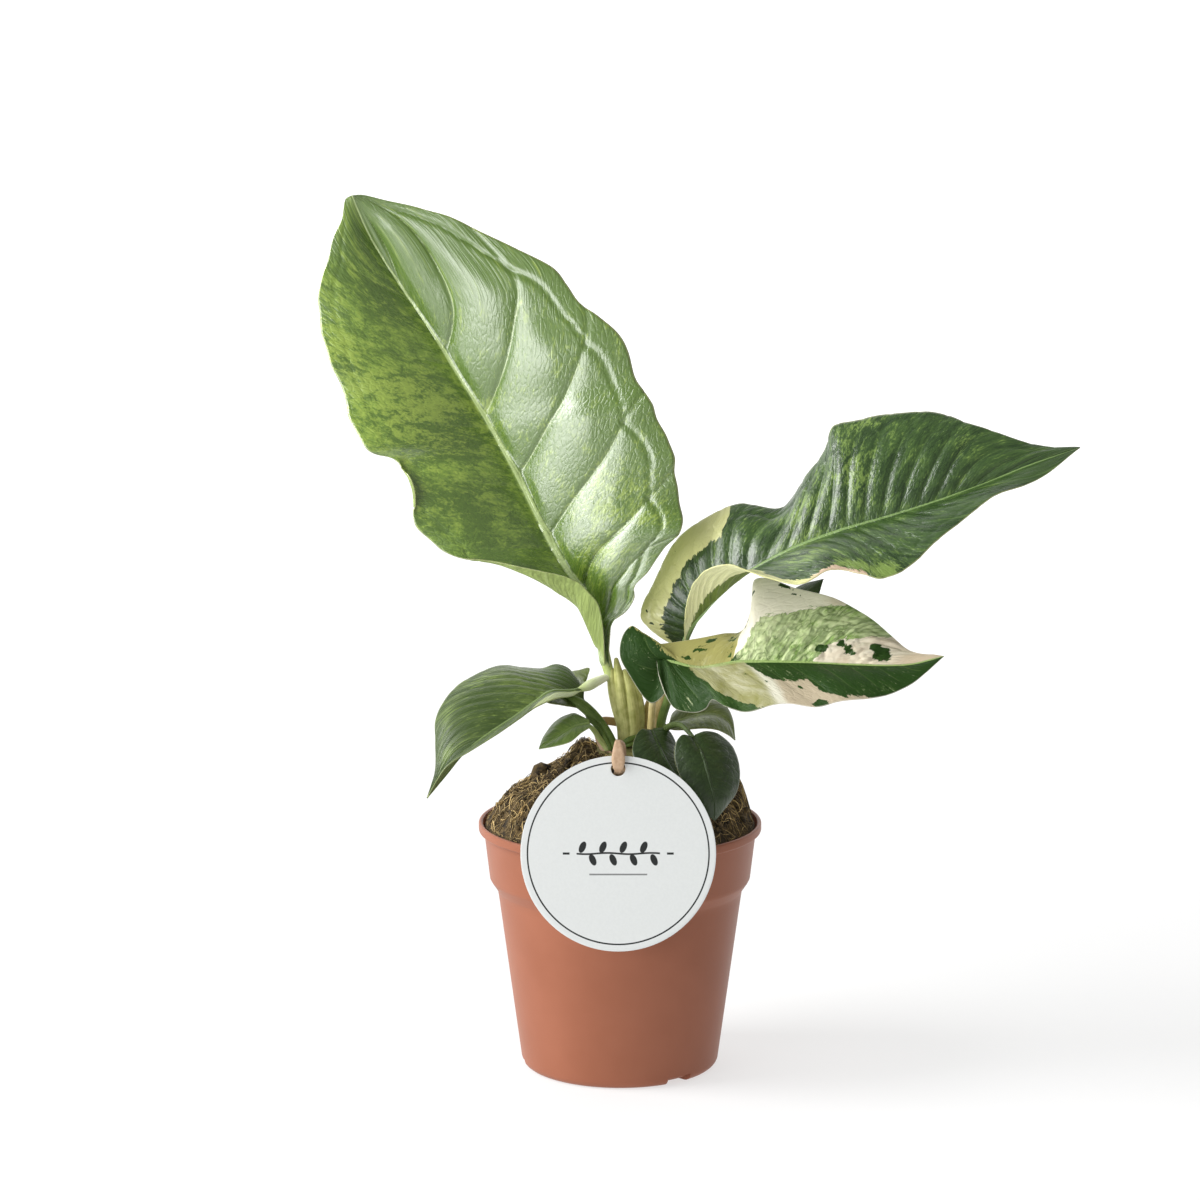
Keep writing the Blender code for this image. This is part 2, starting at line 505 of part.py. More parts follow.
def make_small_leaves():
    blade("under_left_blade",
          midrib=[(0, -13, -4, 156), (0.3, -19, 0, 159), (0.6, -27, 3, 162),
                  (1, -38, 4, 165)],
          left=[(0, -14, -6, 155), (0.2, -18, -9, 157), (0.45, -25, -12, 159),
                (0.75, -32, -8, 160), (1, -38, 4, 165)],
          right=[(0, -13, -2, 157), (0.2, -14, 6, 162), (0.5, -22, 12, 166),
                 (0.8, -31, 10, 167), (1, -38, 4, 165)],
          cells=(10, 6), material=DARK_BLADE)
    blade("small_left_blade",
          midrib=[(0, -13, -16, 152), (0.4, -20, -20, 151), (0.75, -27, -23, 147),
                  (1, -34, -25, 143)],
          left=[(0, -12, -18, 151), (0.25, -16, -25, 150), (0.55, -21, -29, 147),
                (0.8, -27, -28, 145), (1, -34, -25, 143)],
          right=[(0, -13, -15, 153), (0.15, -16, -12, 154), (0.35, -20, -10, 155),
                 (0.6, -27, -12, 152), (0.82, -32, -18, 147), (1, -34, -25, 143)],
          cells=(10, 6), material=LIGHT_BLADE)
    blade("front_blade",
          midrib=[(0, 13, -16, 149), (0.25, 16, -23, 144), (0.5, 19, -29, 139),
                  (0.75, 24, -34, 132), (1, 30, -38, 125)],
          left=[(0, 14, -15, 149), (0.12, 18, -15, 149), (0.28, 20, -17, 146),
                (0.45, 23, -22, 141), (0.65, 28, -27, 135), (0.82, 32, -32, 129),
                (1, 30, -38, 125)],
          right=[(0, 12, -17, 149), (0.1, 9, -19, 149), (0.22, 7, -24, 146),
                 (0.38, 6, -30, 142), (0.55, 9, -35, 136), (0.75, 15, -38, 130),
                 (0.9, 23, -39, 126), (1, 30, -38, 125)],
          cells=(12, 6), material=DARK_BLADE)
    blade("hanging_blade",
          midrib=[(0, 30, -32, 149), (0.25, 34, -38, 143), (0.55, 37, -43, 133),
                  (0.8, 39, -45, 125), (1, 39, -44, 117)],
          left=[(0, 31, -31, 150), (0.1, 34, -29, 151), (0.22, 40, -27, 149),
                (0.36, 45, -27, 144), (0.5, 48, -29, 139), (0.64, 49, -32, 133),
                (0.78, 48, -36, 128), (0.9, 43, -40, 122), (1, 39, -44, 117)],
          right=[(0, 29, -33, 149), (0.12, 27, -34, 149), (0.28, 25, -37, 145),
                 (0.45, 26, -41, 139), (0.62, 28, -44, 133), (0.8, 32, -45, 126),
                 (0.92, 36, -45, 120), (1, 39, -44, 117)],
          cells=(12, 6), material=DARK_BLADE)
    blade("side_blade",
          midrib=[(0, 20, 6, 146), (0.3, 29, 12, 148), (0.6, 39, 15, 149),
                  (0.82, 46, 13, 146), (1, 49, 9, 139)],
          left=[(0, 21, 7, 147), (0.15, 23, 16, 150), (0.4, 33, 24, 154),
                (0.65, 44, 22, 152), (0.85, 48, 16, 147), (1, 49, 9, 139)],
          right=[(0, 21, 4, 145), (0.2, 25, 2, 145), (0.45, 33, 1, 146), (0.7, 41, 3, 145),
                 (0.87, 46, 6, 142), (1, 49, 9, 139)],
          cells=(10, 6), material=LIGHT_BLADE)
    blade("rear_blade",
          midrib=[(0, 38, 24, 163), (0.3, 49, 33, 170), (0.65, 68, 42, 187),
                  (1, 88, 46, 202)],
          left=[(0, 37, 24, 164), (0.2, 41, 33, 169), (0.5, 56, 46, 182),
                (0.8, 76, 50, 197), (1, 88, 46, 202)],
          right=[(0, 39, 23, 162), (0.2, 48, 27, 162), (0.5, 66, 34, 174),
                 (0.8, 83, 42, 190), (1, 88, 46, 202)],
          cells=(10, 6), material=DARK_BLADE)


# ---------------------------------------------------------------- tag card and band

def card_point(up, forward=0.0):
    """A point on the card's centre line: up from its centre, and forward of its mid plane."""
    lean = radians(CARD_LEAN)
    back = (CARD_THICKNESS / 2 + GAP) / cos(lean)
    lip_height = POT_HEIGHT - LIP_HEIGHT / 2
    centre_y = (CARD_CENTRE_HEIGHT - lip_height) * sin(lean) - LIP_RADIUS - back
    return (CARD_CENTRE_X, centre_y + up * sin(lean) - forward * cos(lean),
            CARD_CENTRE_HEIGHT + up * cos(lean) + forward * sin(lean))


def make_tag_card():
    card = disc("tag_card", CARD_RADIUS, CARD_THICKNESS, 72, WHITE_CARD)
    hole = as_guide(disc("tag_hole", CARD_HOLE_RADIUS, 6.0, 20, WHITE_CARD, CUTTERS))
    for item, place in ((card, card_point(0.0)), (hole, card_point(CARD_HOLE_FROM_CENTRE))):
        item.location = [value * MM for value in place]
        item.rotation_euler.x = radians(90.0 - CARD_LEAN)
    cut(card, hole)


def make_tag_band():
    """A closed loop: from the shoot's left over the card's edge, back through its hole, and
    round the shoot. Each row is a centre and the direction of the band's width."""
    hole = card_point(CARD_HOLE_FROM_CENTRE + 0.4)
    front = card_point(CARD_HOLE_FROM_CENTRE + 1.6, 3.0)
    over = card_point(CARD_RADIUS + 1.6, 2.0)
    behind = card_point(CARD_RADIUS + 2.4, -3.4)
    route = [(*hole, 1, 0, 0), (*front, 1, 0, 0), (*over, 1, 0, 0), (*behind, 1, 0, 0),
             (0.6, -38, 147.6, 1, 0, 0), (1.2, -24, 145.6, 1, 0, 0.4),
             (1.6, -14.6, 144.6, 0.3, 0, 1), (-1.6, -9.2, 145.2, 0, 0, 1),
             (-5.4, -4.4, 146.6, 0, 0, 1), (-6.6, 1.6, 147.4, 0, 0, 1),
             (-3.0, 7.4, 147.4, 0, 0, 1), (3.4, 8.6, 146.6, 0, 0, 1),
             (8.4, 4.6, 145.6, 0, 0, 1), (9.4, -2.4, 144.6, 0, 0, 1),
             (9.3, -9.0, 144.0, 0, 0, 1), (7.4, -16.0, 143.2, 0.3, 0, 1),
             (4.4, -26.0, 141.4, 1, 0, 0.5), (1.4, -40.0, 139.2, 1, 0, 0),
             (*card_point(CARD_HOLE_FROM_CENTRE - 1.0, -3.6), 1, 0, 0), (*hole, 1, 0, 0)]
    rows = evenly(route)

    def surface(u, v):
        here = curve_through(rows, u)
        width = here[:, 3:] / np.linalg.norm(here[:, 3:], axis=1)[:, None]
        return here[:, :3] + width * ((v - 0.5) * BAND_WIDTH)[:, None]

    sheet("tag_band", surface, (72, 2), BAND_THICKNESS, TAN_BAND)


def main():
    make_pot()
    make_potting_mix()
    make_crown()
    make_shoots()
    make_petioles()
    make_large_leaf()
    make_upper_right_leaf()
    make_lower_right_leaf()
    make_left_leaf()
    make_small_leaves()
    make_tag_card()
    make_tag_band()


main()
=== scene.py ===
"""Potted anthurium: the looks of its leaves, sheaths, potting mix, pot, tag card and band.

Every surface is a function of two parameters, worked out on a whole grid at once in millimetres
and written to the mesh in metres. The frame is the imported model's: +Z is up, -Y is the front.
"""
from math import cos, pi, radians, sin

import bmesh
import bpy
import numpy as np
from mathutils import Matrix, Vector


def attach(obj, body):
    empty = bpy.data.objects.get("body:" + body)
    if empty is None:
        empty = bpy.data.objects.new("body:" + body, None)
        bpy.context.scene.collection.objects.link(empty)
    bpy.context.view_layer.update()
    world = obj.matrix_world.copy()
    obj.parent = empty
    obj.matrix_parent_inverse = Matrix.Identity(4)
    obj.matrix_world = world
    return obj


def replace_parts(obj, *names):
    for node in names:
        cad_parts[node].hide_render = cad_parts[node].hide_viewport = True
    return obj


MM = 0.001
FAR = 50.0                  # mm: well outside any patch on a leaf
HALVES_APART = 30.0         # mm: keeps the grain of a leaf's two halves from matching
MIDDLE = (0.38, 0.60)       # the stretch of a noise's range where two tones change over

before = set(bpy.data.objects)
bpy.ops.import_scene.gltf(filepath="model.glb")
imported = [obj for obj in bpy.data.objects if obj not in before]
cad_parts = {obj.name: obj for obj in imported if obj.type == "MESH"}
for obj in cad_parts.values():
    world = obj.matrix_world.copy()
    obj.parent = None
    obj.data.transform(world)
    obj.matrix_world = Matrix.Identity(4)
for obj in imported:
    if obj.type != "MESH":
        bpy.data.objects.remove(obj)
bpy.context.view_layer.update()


# ---------------------------------------------------------------- shader building

class Wire:
    """A shader socket that takes part in arithmetic: each operator adds one Math node."""

    def __init__(self, finish, socket):
        self.finish, self.socket = finish, socket

    def maths(self, operation, *operands):
        settings = {"operation": operation}
        return self.finish.node("ShaderNodeMath", settings, dict(enumerate(operands)))

    def __add__(self, other):
        return self.maths("ADD", self, other)

    def __radd__(self, other):
        return self.maths("ADD", other, self)

    def __sub__(self, other):
        return self.maths("SUBTRACT", self, other)

    def __rsub__(self, other):
        return self.maths("SUBTRACT", other, self)

    def __mul__(self, other):
        return self.maths("MULTIPLY", self, other)

    def __rmul__(self, other):
        return self.maths("MULTIPLY", other, self)

    def __truediv__(self, other):
        return self.maths("DIVIDE", self, other)

    def __pow__(self, other):
        return self.maths("POWER", self, other)

    def __abs__(self):
        return self.maths("ABSOLUTE", self)

    def most(self, other):
        return self.maths("MAXIMUM", self, other)

    def wave(self):
        """The sine of an angle in radians."""
        return self.maths("SINE", self)

    def off_whole(self):
        """The distance to the nearest whole number, 0 to 0.5."""
        return abs(self - self.maths("ROUND", self))

    def part(self):
        """What is left above the whole number below."""
        return self.maths("FRACT", self)

    def rise(self, low, high):
        """A smooth step from 0 at low to 1 at high."""
        return self.finish.node("ShaderNodeMapRange", {"interpolation_type": "SMOOTHSTEP"},
                                {"Value": self, "From Min": low, "From Max": high})

    def fall(self, low, high):
        """A smooth step from 1 at low to 0 at high."""
        return 1.0 - self.rise(low, high)

    def inside(self):
        """1 inside a patch and 0 outside, from mm inside it, over a border 0.3 mm wide."""
        return self.rise(-0.15, 0.15)


class Finish:
    """A material and its nodes."""

    def __init__(self, name):
        self.material = bpy.data.materials.new(name)
        self.material.use_nodes = True
        self.tree = self.material.node_tree
        self.shader = self.tree.nodes["Principled BSDF"]

    def connect(self, target, value):
        """Link a socket to a wire, or set it to a number, a vector or a colour."""
        if isinstance(value, Wire):
            self.tree.links.new(value.socket, target)
        elif isinstance(value, tuple) and target.type == "RGBA":
            target.default_value = (*value, 1.0)
        else:
            target.default_value = value

    def node(self, kind, settings=None, values=None, output=0):
        """Add any node: its settings first, then its sockets' values or links."""
        made = self.tree.nodes.new(kind)
        for key, value in (settings or {}).items():
            setattr(made, key, value)
        for key, value in (values or {}).items():
            self.connect(made.inputs[key], value)
        return Wire(self, made.outputs[output])

    def place(self):
        """Where a point lies in the frame, in metres."""
        return self.node("ShaderNodeTexCoord", output="Object")

    def field(self, name):
        """A number kept at each vertex."""
        return self.node("ShaderNodeAttribute", {"attribute_name": name}, output="Fac")

    def vector_field(self, name):
        """Three numbers kept at each vertex."""
        return self.node("ShaderNodeAttribute", {"attribute_name": name}, output="Vector")

    def split(self, vector):
        """The three numbers of a vector."""
        apart = self.node("ShaderNodeSeparateXYZ", None, {"Vector": vector}).socket.node
        return [Wire(self, socket) for socket in apart.outputs]

    def stretched(self, vector, scale):
        return self.node("ShaderNodeMapping", None, {"Vector": vector, "Scale": scale})

    def noise(self, vector, scale, detail=3.0, roughness=0.55, distortion=0.0):
        """Cloudy noise from 0 to 1, with scale clouds to a unit of the vector."""
        return self.node("ShaderNodeTexNoise", None,
                         {"Vector": vector, "Scale": scale, "Detail": detail,
                          "Roughness": roughness, "Distortion": distortion})

    def drawn_out(self, vector, scales, detail=4.0, roughness=0.6, distortion=0.0):
        """Noise with its own scale in each of the vector's first two directions."""
        return self.noise(self.stretched(vector, (*scales, 1.0)), 1.0, detail, roughness,
                          distortion)

    def cells(self, vector, scale, feature="F1"):
        """The distance to the nearest of many scattered points, or to the nearest border."""
        return self.node("ShaderNodeTexVoronoi", {"feature": feature},
                         {"Vector": vector, "Scale": scale}, output="Distance")

    def mix(self, share, first, second):
        """The first colour where share is 0, the second where it is 1."""
        return self.node("ShaderNodeMix", {"data_type": "RGBA"},
                         {0: share, 6: first, 7: second}, output=2)

    def bump(self, height, depth_mm):
        return self.node("ShaderNodeBump", None, {"Height": height, "Distance": depth_mm * MM})

    def surface(self, **sockets):
        """Set the shader's sockets, named with underscores for spaces."""
        for key, value in sockets.items():
            self.connect(self.shader.inputs[key.replace("_", " ")], value)
        return self.material


# ---------------------------------------------------------------- mesh building

def curve_through(points, where):
    """A smooth curve through rows of (parameter, x, y, z, ...).

    Each stretch is a cubic Hermite curve, whose slope at a point is that of the chord between
    the point's two neighbours.
    """
    rows = np.array(points, dtype=float)
    at, values = rows[:, 0], rows[:, 1:]
    slopes = np.empty_like(values)
    slopes[1:-1] = (values[2:] - values[:-2]) / (at[2:] - at[:-2])[:, None]
    slopes[0] = (values[1] - values[0]) / (at[1] - at[0])
    slopes[-1] = (values[-1] - values[-2]) / (at[-1] - at[-2])
    where = np.asarray(where, dtype=float)
    k = np.clip(np.searchsorted(at, where, side="right") - 1, 0, len(at) - 2)
    span = (at[k + 1] - at[k])[..., None]
    u = (where - at[k])[..., None] / span
    return ((2 * u ** 3 - 3 * u ** 2 + 1) * values[k]
            + (u ** 3 - 2 * u ** 2 + u) * span * slopes[k]
            + (3 * u ** 2 - 2 * u ** 3) * values[k + 1]
            + (u ** 3 - u ** 2) * span * slopes[k + 1])


def evenly(points):
    """Number route points 0 to 1 by the length run so far."""
    rows = np.array(points, dtype=float)
    steps = np.linalg.norm(np.diff(rows[:, :3], axis=0), axis=1)
    run = np.concatenate([[0.0], np.cumsum(steps)])
    return np.column_stack([run / run[-1], rows])


def unit(vectors):
    """Each vector over its own length."""
    return vectors / (np.linalg.norm(vectors, axis=-1)[..., None] + 1e-9)


def grid_faces(rows, columns, start=0, round_rows=False, round_columns=False):
    """The quads of a grid of points, numbered row by row, that face d(column) x d(row)."""
    i, j = np.meshgrid(np.arange(rows - (not round_rows)),
                       np.arange(columns - (not round_columns)), indexing="ij")
    down, along = (i + 1) % rows, (j + 1) % columns
    quads = np.stack([i * columns + j, i * columns + along,
                      down * columns + along, down * columns + j], axis=-1)
    return quads.reshape(-1, 4) + start


def repeat_faces(faces, count, points_each):
    """The faces of one shape, numbered again for each of count copies of its points."""
    starts = np.arange(count) * points_each
    return (faces[None] + starts[:, None, None]).reshape(-1, faces.shape[1])


def put_in_scene(name, data):
    """An object at the origin for a mesh, a light or a camera."""
    made = bpy.data.objects.new(name, data)
    bpy.context.scene.collection.objects.link(made)
    return made


def add_piece(name, points, faces, materials, uv=None, fields=None, weld=0.02, sharp=60.0):
    """A mesh piece from points in mm, with per-vertex fields and a UV map.

    Points that coincide are welded, which closes seams and turns a row into a pole.
    """
    mesh = bpy.data.meshes.new(name)
    points = np.asarray(points, dtype=float).reshape(-1, 3)
    faces = np.asarray(faces)
    mesh.from_pydata(points * MM, [], faces.tolist())
    for key, values in (fields or {}).items():
        values = np.asarray(values, dtype=np.float32)
        if values.size == len(points):
            layer = mesh.attributes.new(key, "FLOAT", "POINT")
            layer.data.foreach_set("value", values.ravel())
        else:
            layer = mesh.attributes.new(key, "FLOAT_VECTOR", "POINT")
            layer.data.foreach_set("vector", values.ravel())
    if uv is not None:
        layer = mesh.uv_layers.new(name="UVMap")
        layer.data.foreach_set("uv", np.asarray(uv).reshape(-1, 2)[faces.ravel()].ravel())
    bm = bmesh.new()
    bm.from_mesh(mesh)
    bmesh.ops.remove_doubles(bm, verts=bm.verts, dist=weld * MM)
    bm.to_mesh(mesh)
    bm.free()
    for material in materials:
        mesh.materials.append(material)
    mesh.shade_smooth()
    mesh.set_sharp_from_angle(angle=radians(sharp))
    piece = put_in_scene(name, mesh)
    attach(piece, "root")
    return piece


def thicken(piece, thickness, under_slot=0):
    """Give an open sheet its thickness, half on each side; the underside may differ."""
    solidify = piece.modifiers.new("thickness", "SOLIDIFY")
    solidify.thickness = thickness * MM
    solidify.offset = 0.0
    solidify.material_offset = under_slot


def tube_points(route, sides, rings, ridges=0, ridge_depth=0.0, upright=(0.0, 1.0, 0.0)):
    """A round profile carried along a route of (x, y, z, radius), with rounded ends.

    At each ring the profile lies across the path; its radius is the route's, times one plus
    ridge_depth times the cosine of ridges times the angle. Towards each end it closes as a
    quarter circle. Returns the grid of points with the share run and the angle.
    """
    at = 0.5 - 0.5 * np.cos(pi * np.linspace(0.0, 1.0, rings))
    rows = curve_through(evenly(route), at)
    path, radius = rows[:, :3], rows[:, 3]
    along = unit(np.gradient(path, axis=0))
    first = unit(np.cross(along, np.array(upright)))
    second = np.cross(along, first)
    length = np.linalg.norm(np.diff(path, axis=0), axis=1).sum()
    near_end = np.minimum(at, 1.0 - at) * length / radius
    closing = np.sqrt(np.clip(1.0 - (1.0 - np.minimum(near_end, 1.0)) ** 2, 0.0, 1.0))
    angle = np.linspace(0.0, 2 * pi, sides, endpoint=False)
    swell = 1.0 + ridge_depth * np.cos(ridges * angle)[None, :]
    out = (radius * closing)[:, None] * swell
    points = path[:, None] + out[..., None] * (np.cos(angle)[None, :, None] * first[:, None]
                                               + np.sin(angle)[None, :, None] * second[:, None])
    share = np.broadcast_to(at[:, None], out.shape)
    return points, share, np.broadcast_to(angle, out.shape)


def add_tubes(name, routes, material, sides=20, rings=40, **shape):
    """One piece of one or more tubes; the UV map holds the share run and the turn."""
    grids = [tube_points(route, sides, rings, **shape) for route in routes]
    faces = np.concatenate([grid_faces(rings, sides, k * rings * sides, round_columns=True)
                            for k in range(len(grids))])
    points, share, angle = (np.concatenate([grid[k] for grid in grids]) for k in range(3))
    uv = np.stack([share, angle / (2 * pi)], axis=-1)
    return add_piece(name, points, faces, [material], uv, weld=0.005)


def lattice_noise(x, y, size, seed):
    """Smooth noise from 0 to 1: random values on a square lattice, eased between its corners."""
    values = np.random.default_rng(seed).random((64, 64))
    px, py = np.asarray(x) / size + 1000.0, np.asarray(y) / size + 1000.0
    ix, iy = np.floor(px).astype(int), np.floor(py).astype(int)
    fx, fy = px - ix, py - iy
    fx, fy = fx * fx * (3 - 2 * fx), fy * fy * (3 - 2 * fy)
    a, b = values[ix % 64, iy % 64], values[(ix + 1) % 64, iy % 64]
    c, d = values[ix % 64, (iy + 1) % 64], values[(ix + 1) % 64, (iy + 1) % 64]
    return (a * (1 - fx) + b * fx) * (1 - fy) + (c * (1 - fx) + d * fx) * fy


def rounded(low, high, value):
    """A smooth step in numpy, 0 at low to 1 at high."""
    share = np.clip((value - low) / (high - low), 0.0, 1.0)
    return share * share * (3.0 - 2.0 * share)


def spots(u, t, centres):
    """The highest of several soft round spots, each (u, t, size along, size across)."""
    total = np.zeros_like(u)
    for u0, t0, along, across in centres:
        total = np.maximum(total, np.exp(-((u - u0) / along) ** 2 - ((t - t0) / across) ** 2))
    return total


# ---------------------------------------------------------------- leaf surface

class Leaf:
    """A blade between three curves from its base (u = 0) to its tip (u = 1).

    Across, t runs from -1 at the left margin through 0 at the midrib to 1 at the right margin.
    A point lies on the rib from the midrib to the margin, raised by a parabola arch times the
    rib's length high. A curl gives the free margin of one side over a stretch of u: there the
    rib runs to the outline, turns there in a rounded corner and ends at that margin. A side vein
    leaves the midrib and gains lean in u by the time it meets the margin; phase counts the
    veins. Along the surface's own normal are added pillows between the side veins, a groove
    along each vein and along the scalloped vein that joins them near the margin, a ridge on
    the midrib and a ripple that grows towards the margin; the margin also wanders in the
    blade's own plane by frill. Pairs are for the left and right half.
    """

    def __init__(self, midrib, left, right, size, arch=0.08, veins=8, lean=(0.14, 0.14),
                 first=(0.0, 0.35), pillow=(1.0, 1.0), groove=(0.35, 0.35), ripple=0.0,
                 ripples=6, rib=1.2, collector=0.84, curls=(), frill=0.0):
        rows, columns = size
        self.size = (rows + 1, columns + 1)
        s = np.linspace(-1.0, 1.0, columns + 1)
        across = np.sign(s) * np.abs(s) ** 1.3
        along = np.linspace(0.0, 1.0, rows + 1)
        u, t = np.meshgrid(along, across, indexing="ij")
        is_left = t < 0
        middle = curve_through(midrib, along)[:, None]
        edges = curve_through(left, along)[:, None], curve_through(right, along)[:, None]
        half = np.where(is_left[..., None], edges[0], edges[1]) - middle
        ahead = curve_through(midrib, np.minimum(along + 0.02, 1.0)) \
            - curve_through(midrib, np.maximum(along - 0.02, 0.0))
        up = unit(np.cross(ahead, (edges[0] - edges[1])[:, 0]))[:, None]
        width = np.linalg.norm(half, axis=-1)
        length = np.linalg.norm(np.diff(middle[:, 0], axis=0), axis=1).sum()
        out = np.abs(t)
        wander = lattice_noise(u * length, np.where(is_left, 0.0, 50.0), 7.0, 31) - 0.5
        outward = out + (frill * wander / np.maximum(width, 4.0)) * out ** 4
        base = middle + outward[..., None] * half \
            + up * (width * arch * 4.0 * out * (1.0 - out))[..., None]
        for side, rows in curls:
            begin, end = rows[0][0], rows[-1][0]
            free = curve_through(rows, np.clip(along, begin, end))[:, None]
            edge = edges[0 if side < 0 else 1]
            arm, flap = (np.linalg.norm(a - b, axis=-1) for a, b in
                         ((edge, middle), (free, edge)))
            turn = np.maximum(arm / (arm + flap), 0.02)
            ease = 0.85 * np.minimum(turn, 1.0 - turn)
            near = (np.minimum(out, turn - ease) / turn)[..., None]
            far = (np.maximum(out - turn, ease) / (1.0 - turn))[..., None]
            first_end, last_end = middle + near * (edge - middle), edge + far * (free - edge)
            k = np.clip((out - turn + ease) / (2.0 * ease), 0.0, 1.0)[..., None]
            bent = (1.0 - k) ** 2 * first_end + 2.0 * k * (1.0 - k) * edge + k ** 2 * last_end
            q = np.minimum(out / turn, 1.0)
            bent += up * (arm * arch * 4.0 * q * (1.0 - q))[..., None]
            amount = rounded(begin - 0.04, begin, u) * rounded(end + 0.05, end, u)
            base += (amount * (np.sign(t) == side))[..., None] * (bent - base)
        normal = unit(np.cross(np.gradient(base, axis=1), np.gradient(base, axis=0)))

        reach = out * width
        phase = veins * (u - np.where(is_left, *lean) * out) - np.where(is_left, *first)
        spacing = length / veins
        between = np.abs(np.sin(pi * phase))
        off_vein = np.abs(phase - np.round(phase)) * spacing
        inside = np.clip((collector - out) / collector, 0.0, 1.0)
        wide = np.clip(width / 25.0, 0.0, 1.0)
        envelope = np.clip(reach / 6.0, 0.0, 1.0) * rounded(0.0, 0.35, inside) * wide
        scallop = collector + 0.06 * (between - 0.5)
        deep = np.where(is_left, *groove) * wide
        lift = np.where(is_left, *pillow) * envelope * (between ** 0.8 - 0.4)
        lift -= deep * np.exp(-(off_vein / 0.8) ** 2) * np.clip(reach / 3.0, 0.0, 1.0)
        lift -= deep * np.exp(-((out - scallop) * width / 0.9) ** 2)
        rib_width = rib * (1.2 - u) + 0.2
        lift += 0.9 * rib_width * np.sqrt(np.clip(1.0 - (reach / rib_width) ** 2, 0.0, 1.0))
        lift += ripple * out ** 4 * np.sin(2 * pi * ripples * u + np.where(is_left, 1.3, 0.0)) \
            * rounded(0.0, 0.1, u) * rounded(0.0, 0.1, 1.0 - u)
        self.normal = normal * (rounded(0.0, 0.06, 1.0 - u) * rounded(-0.02, 0.03, u))[..., None]
        self.points = base
        self.u, self.t, self.width, self.length, self.reach = u, t, width, length, reach
        self.phase, self.spacing = phase, spacing
        self.push(lift)
        self.fields = {"phase": phase, "reach": reach / rib_width, "edge": out,
                       "collector": (out - scallop) * width,
                       "grain": np.stack([phase * spacing, reach,
                                          HALVES_APART * np.sign(t)], axis=-1) * MM}

    def push(self, lift):
        """Move the surface along its normal by lift mm, less at the tip and the base."""
        self.points = self.points + self.normal * lift[..., None]

    def quilt(self, depth, size, where, seed=21):
        """Puckers between creases: two sizes of lattice noise, folded at their middle value."""
        x, y = self.phase * self.spacing, self.reach
        fold = np.abs(lattice_noise(x, y, size, seed) - 0.5) \
            + 0.5 * np.abs(lattice_noise(x, y, size * 0.45, seed + 1) - 0.5)
        self.push(depth * (fold - 0.3) * where * np.clip(y / 3.0, 0.0, 1.0))

    def past(self, stops, sign=1.0):
        """How many mm t is past a border; stops are rows of (u, t) along the border."""
        u, t = np.array(stops, dtype=float).T
        return sign * (self.t - np.interp(self.u, u, t)) * self.width

    def ahead(self, stops, sign=1.0):
        """How many mm u is past a border; stops are rows of (t, u) along the border."""
        t, u = np.array(stops, dtype=float).T
        return sign * (self.u - np.interp(self.t, t, u)) * self.length

    def discs(self, centres):
        """How many mm inside the nearest of several spots of (u, t, radius)."""
        inside = np.full_like(self.u, -FAR)
        for u, t, radius in centres:
            away = np.hypot((self.u - u) * self.length, (self.t - t) * self.width)
            inside = np.maximum(inside, radius - away)
        return inside

    def mark(self, **markings):
        """Keep the markings at the vertices, a number or a whole grid each.

        cream and shade (dark green) are in mm inside the patch. blush runs from -1 (olive)
        through 0 (cream) to 1 (pink). pale adds pale green, dusk darkens
        the green (the leaf's own darker patches, and painted shade on the large leaf's right
        half), mottle adds flecks, veined shows the side veins and dull mixes dark green into the
        cream.
        """
        unmarked = {"cream": -FAR, "shade": -FAR, "pale": 0.0, "dusk": 0.0, "mottle": 0.5,
                    "blush": 0.0, "veined": 1.0, "dull": 0.0}
        for key, value in {**unmarked, **markings}.items():
            self.fields[key] = np.clip(np.broadcast_to(value, self.u.shape), -FAR, FAR)

    def piece(self, name, node, materials, thickness=0.5):
        """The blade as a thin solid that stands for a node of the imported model."""
        uv = np.stack([self.u, 0.5 + 0.5 * self.t], axis=-1)
        blade = add_piece(name, self.points, grid_faces(*self.size), materials, uv, self.fields)
        thicken(blade, thickness, 1)
        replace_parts(blade, node)


# ---------------------------------------------------------------- leaf materials

def leaf_grain(f):
    """What both sides of a leaf share: its grain, the ragged line of its patches' borders
    (-0.5 to 0.5) and the fine net of its skin."""
    grain = f.vector_field("grain")
    ragged = f.drawn_out(grain, (380.0, 200.0), 6.0, 0.66, 0.5) - 0.5
    net = f.cells(f.stretched(grain, (420.0, 300.0, 1.0)), 1.0, "DISTANCE_TO_EDGE")
    return grain, ragged, net


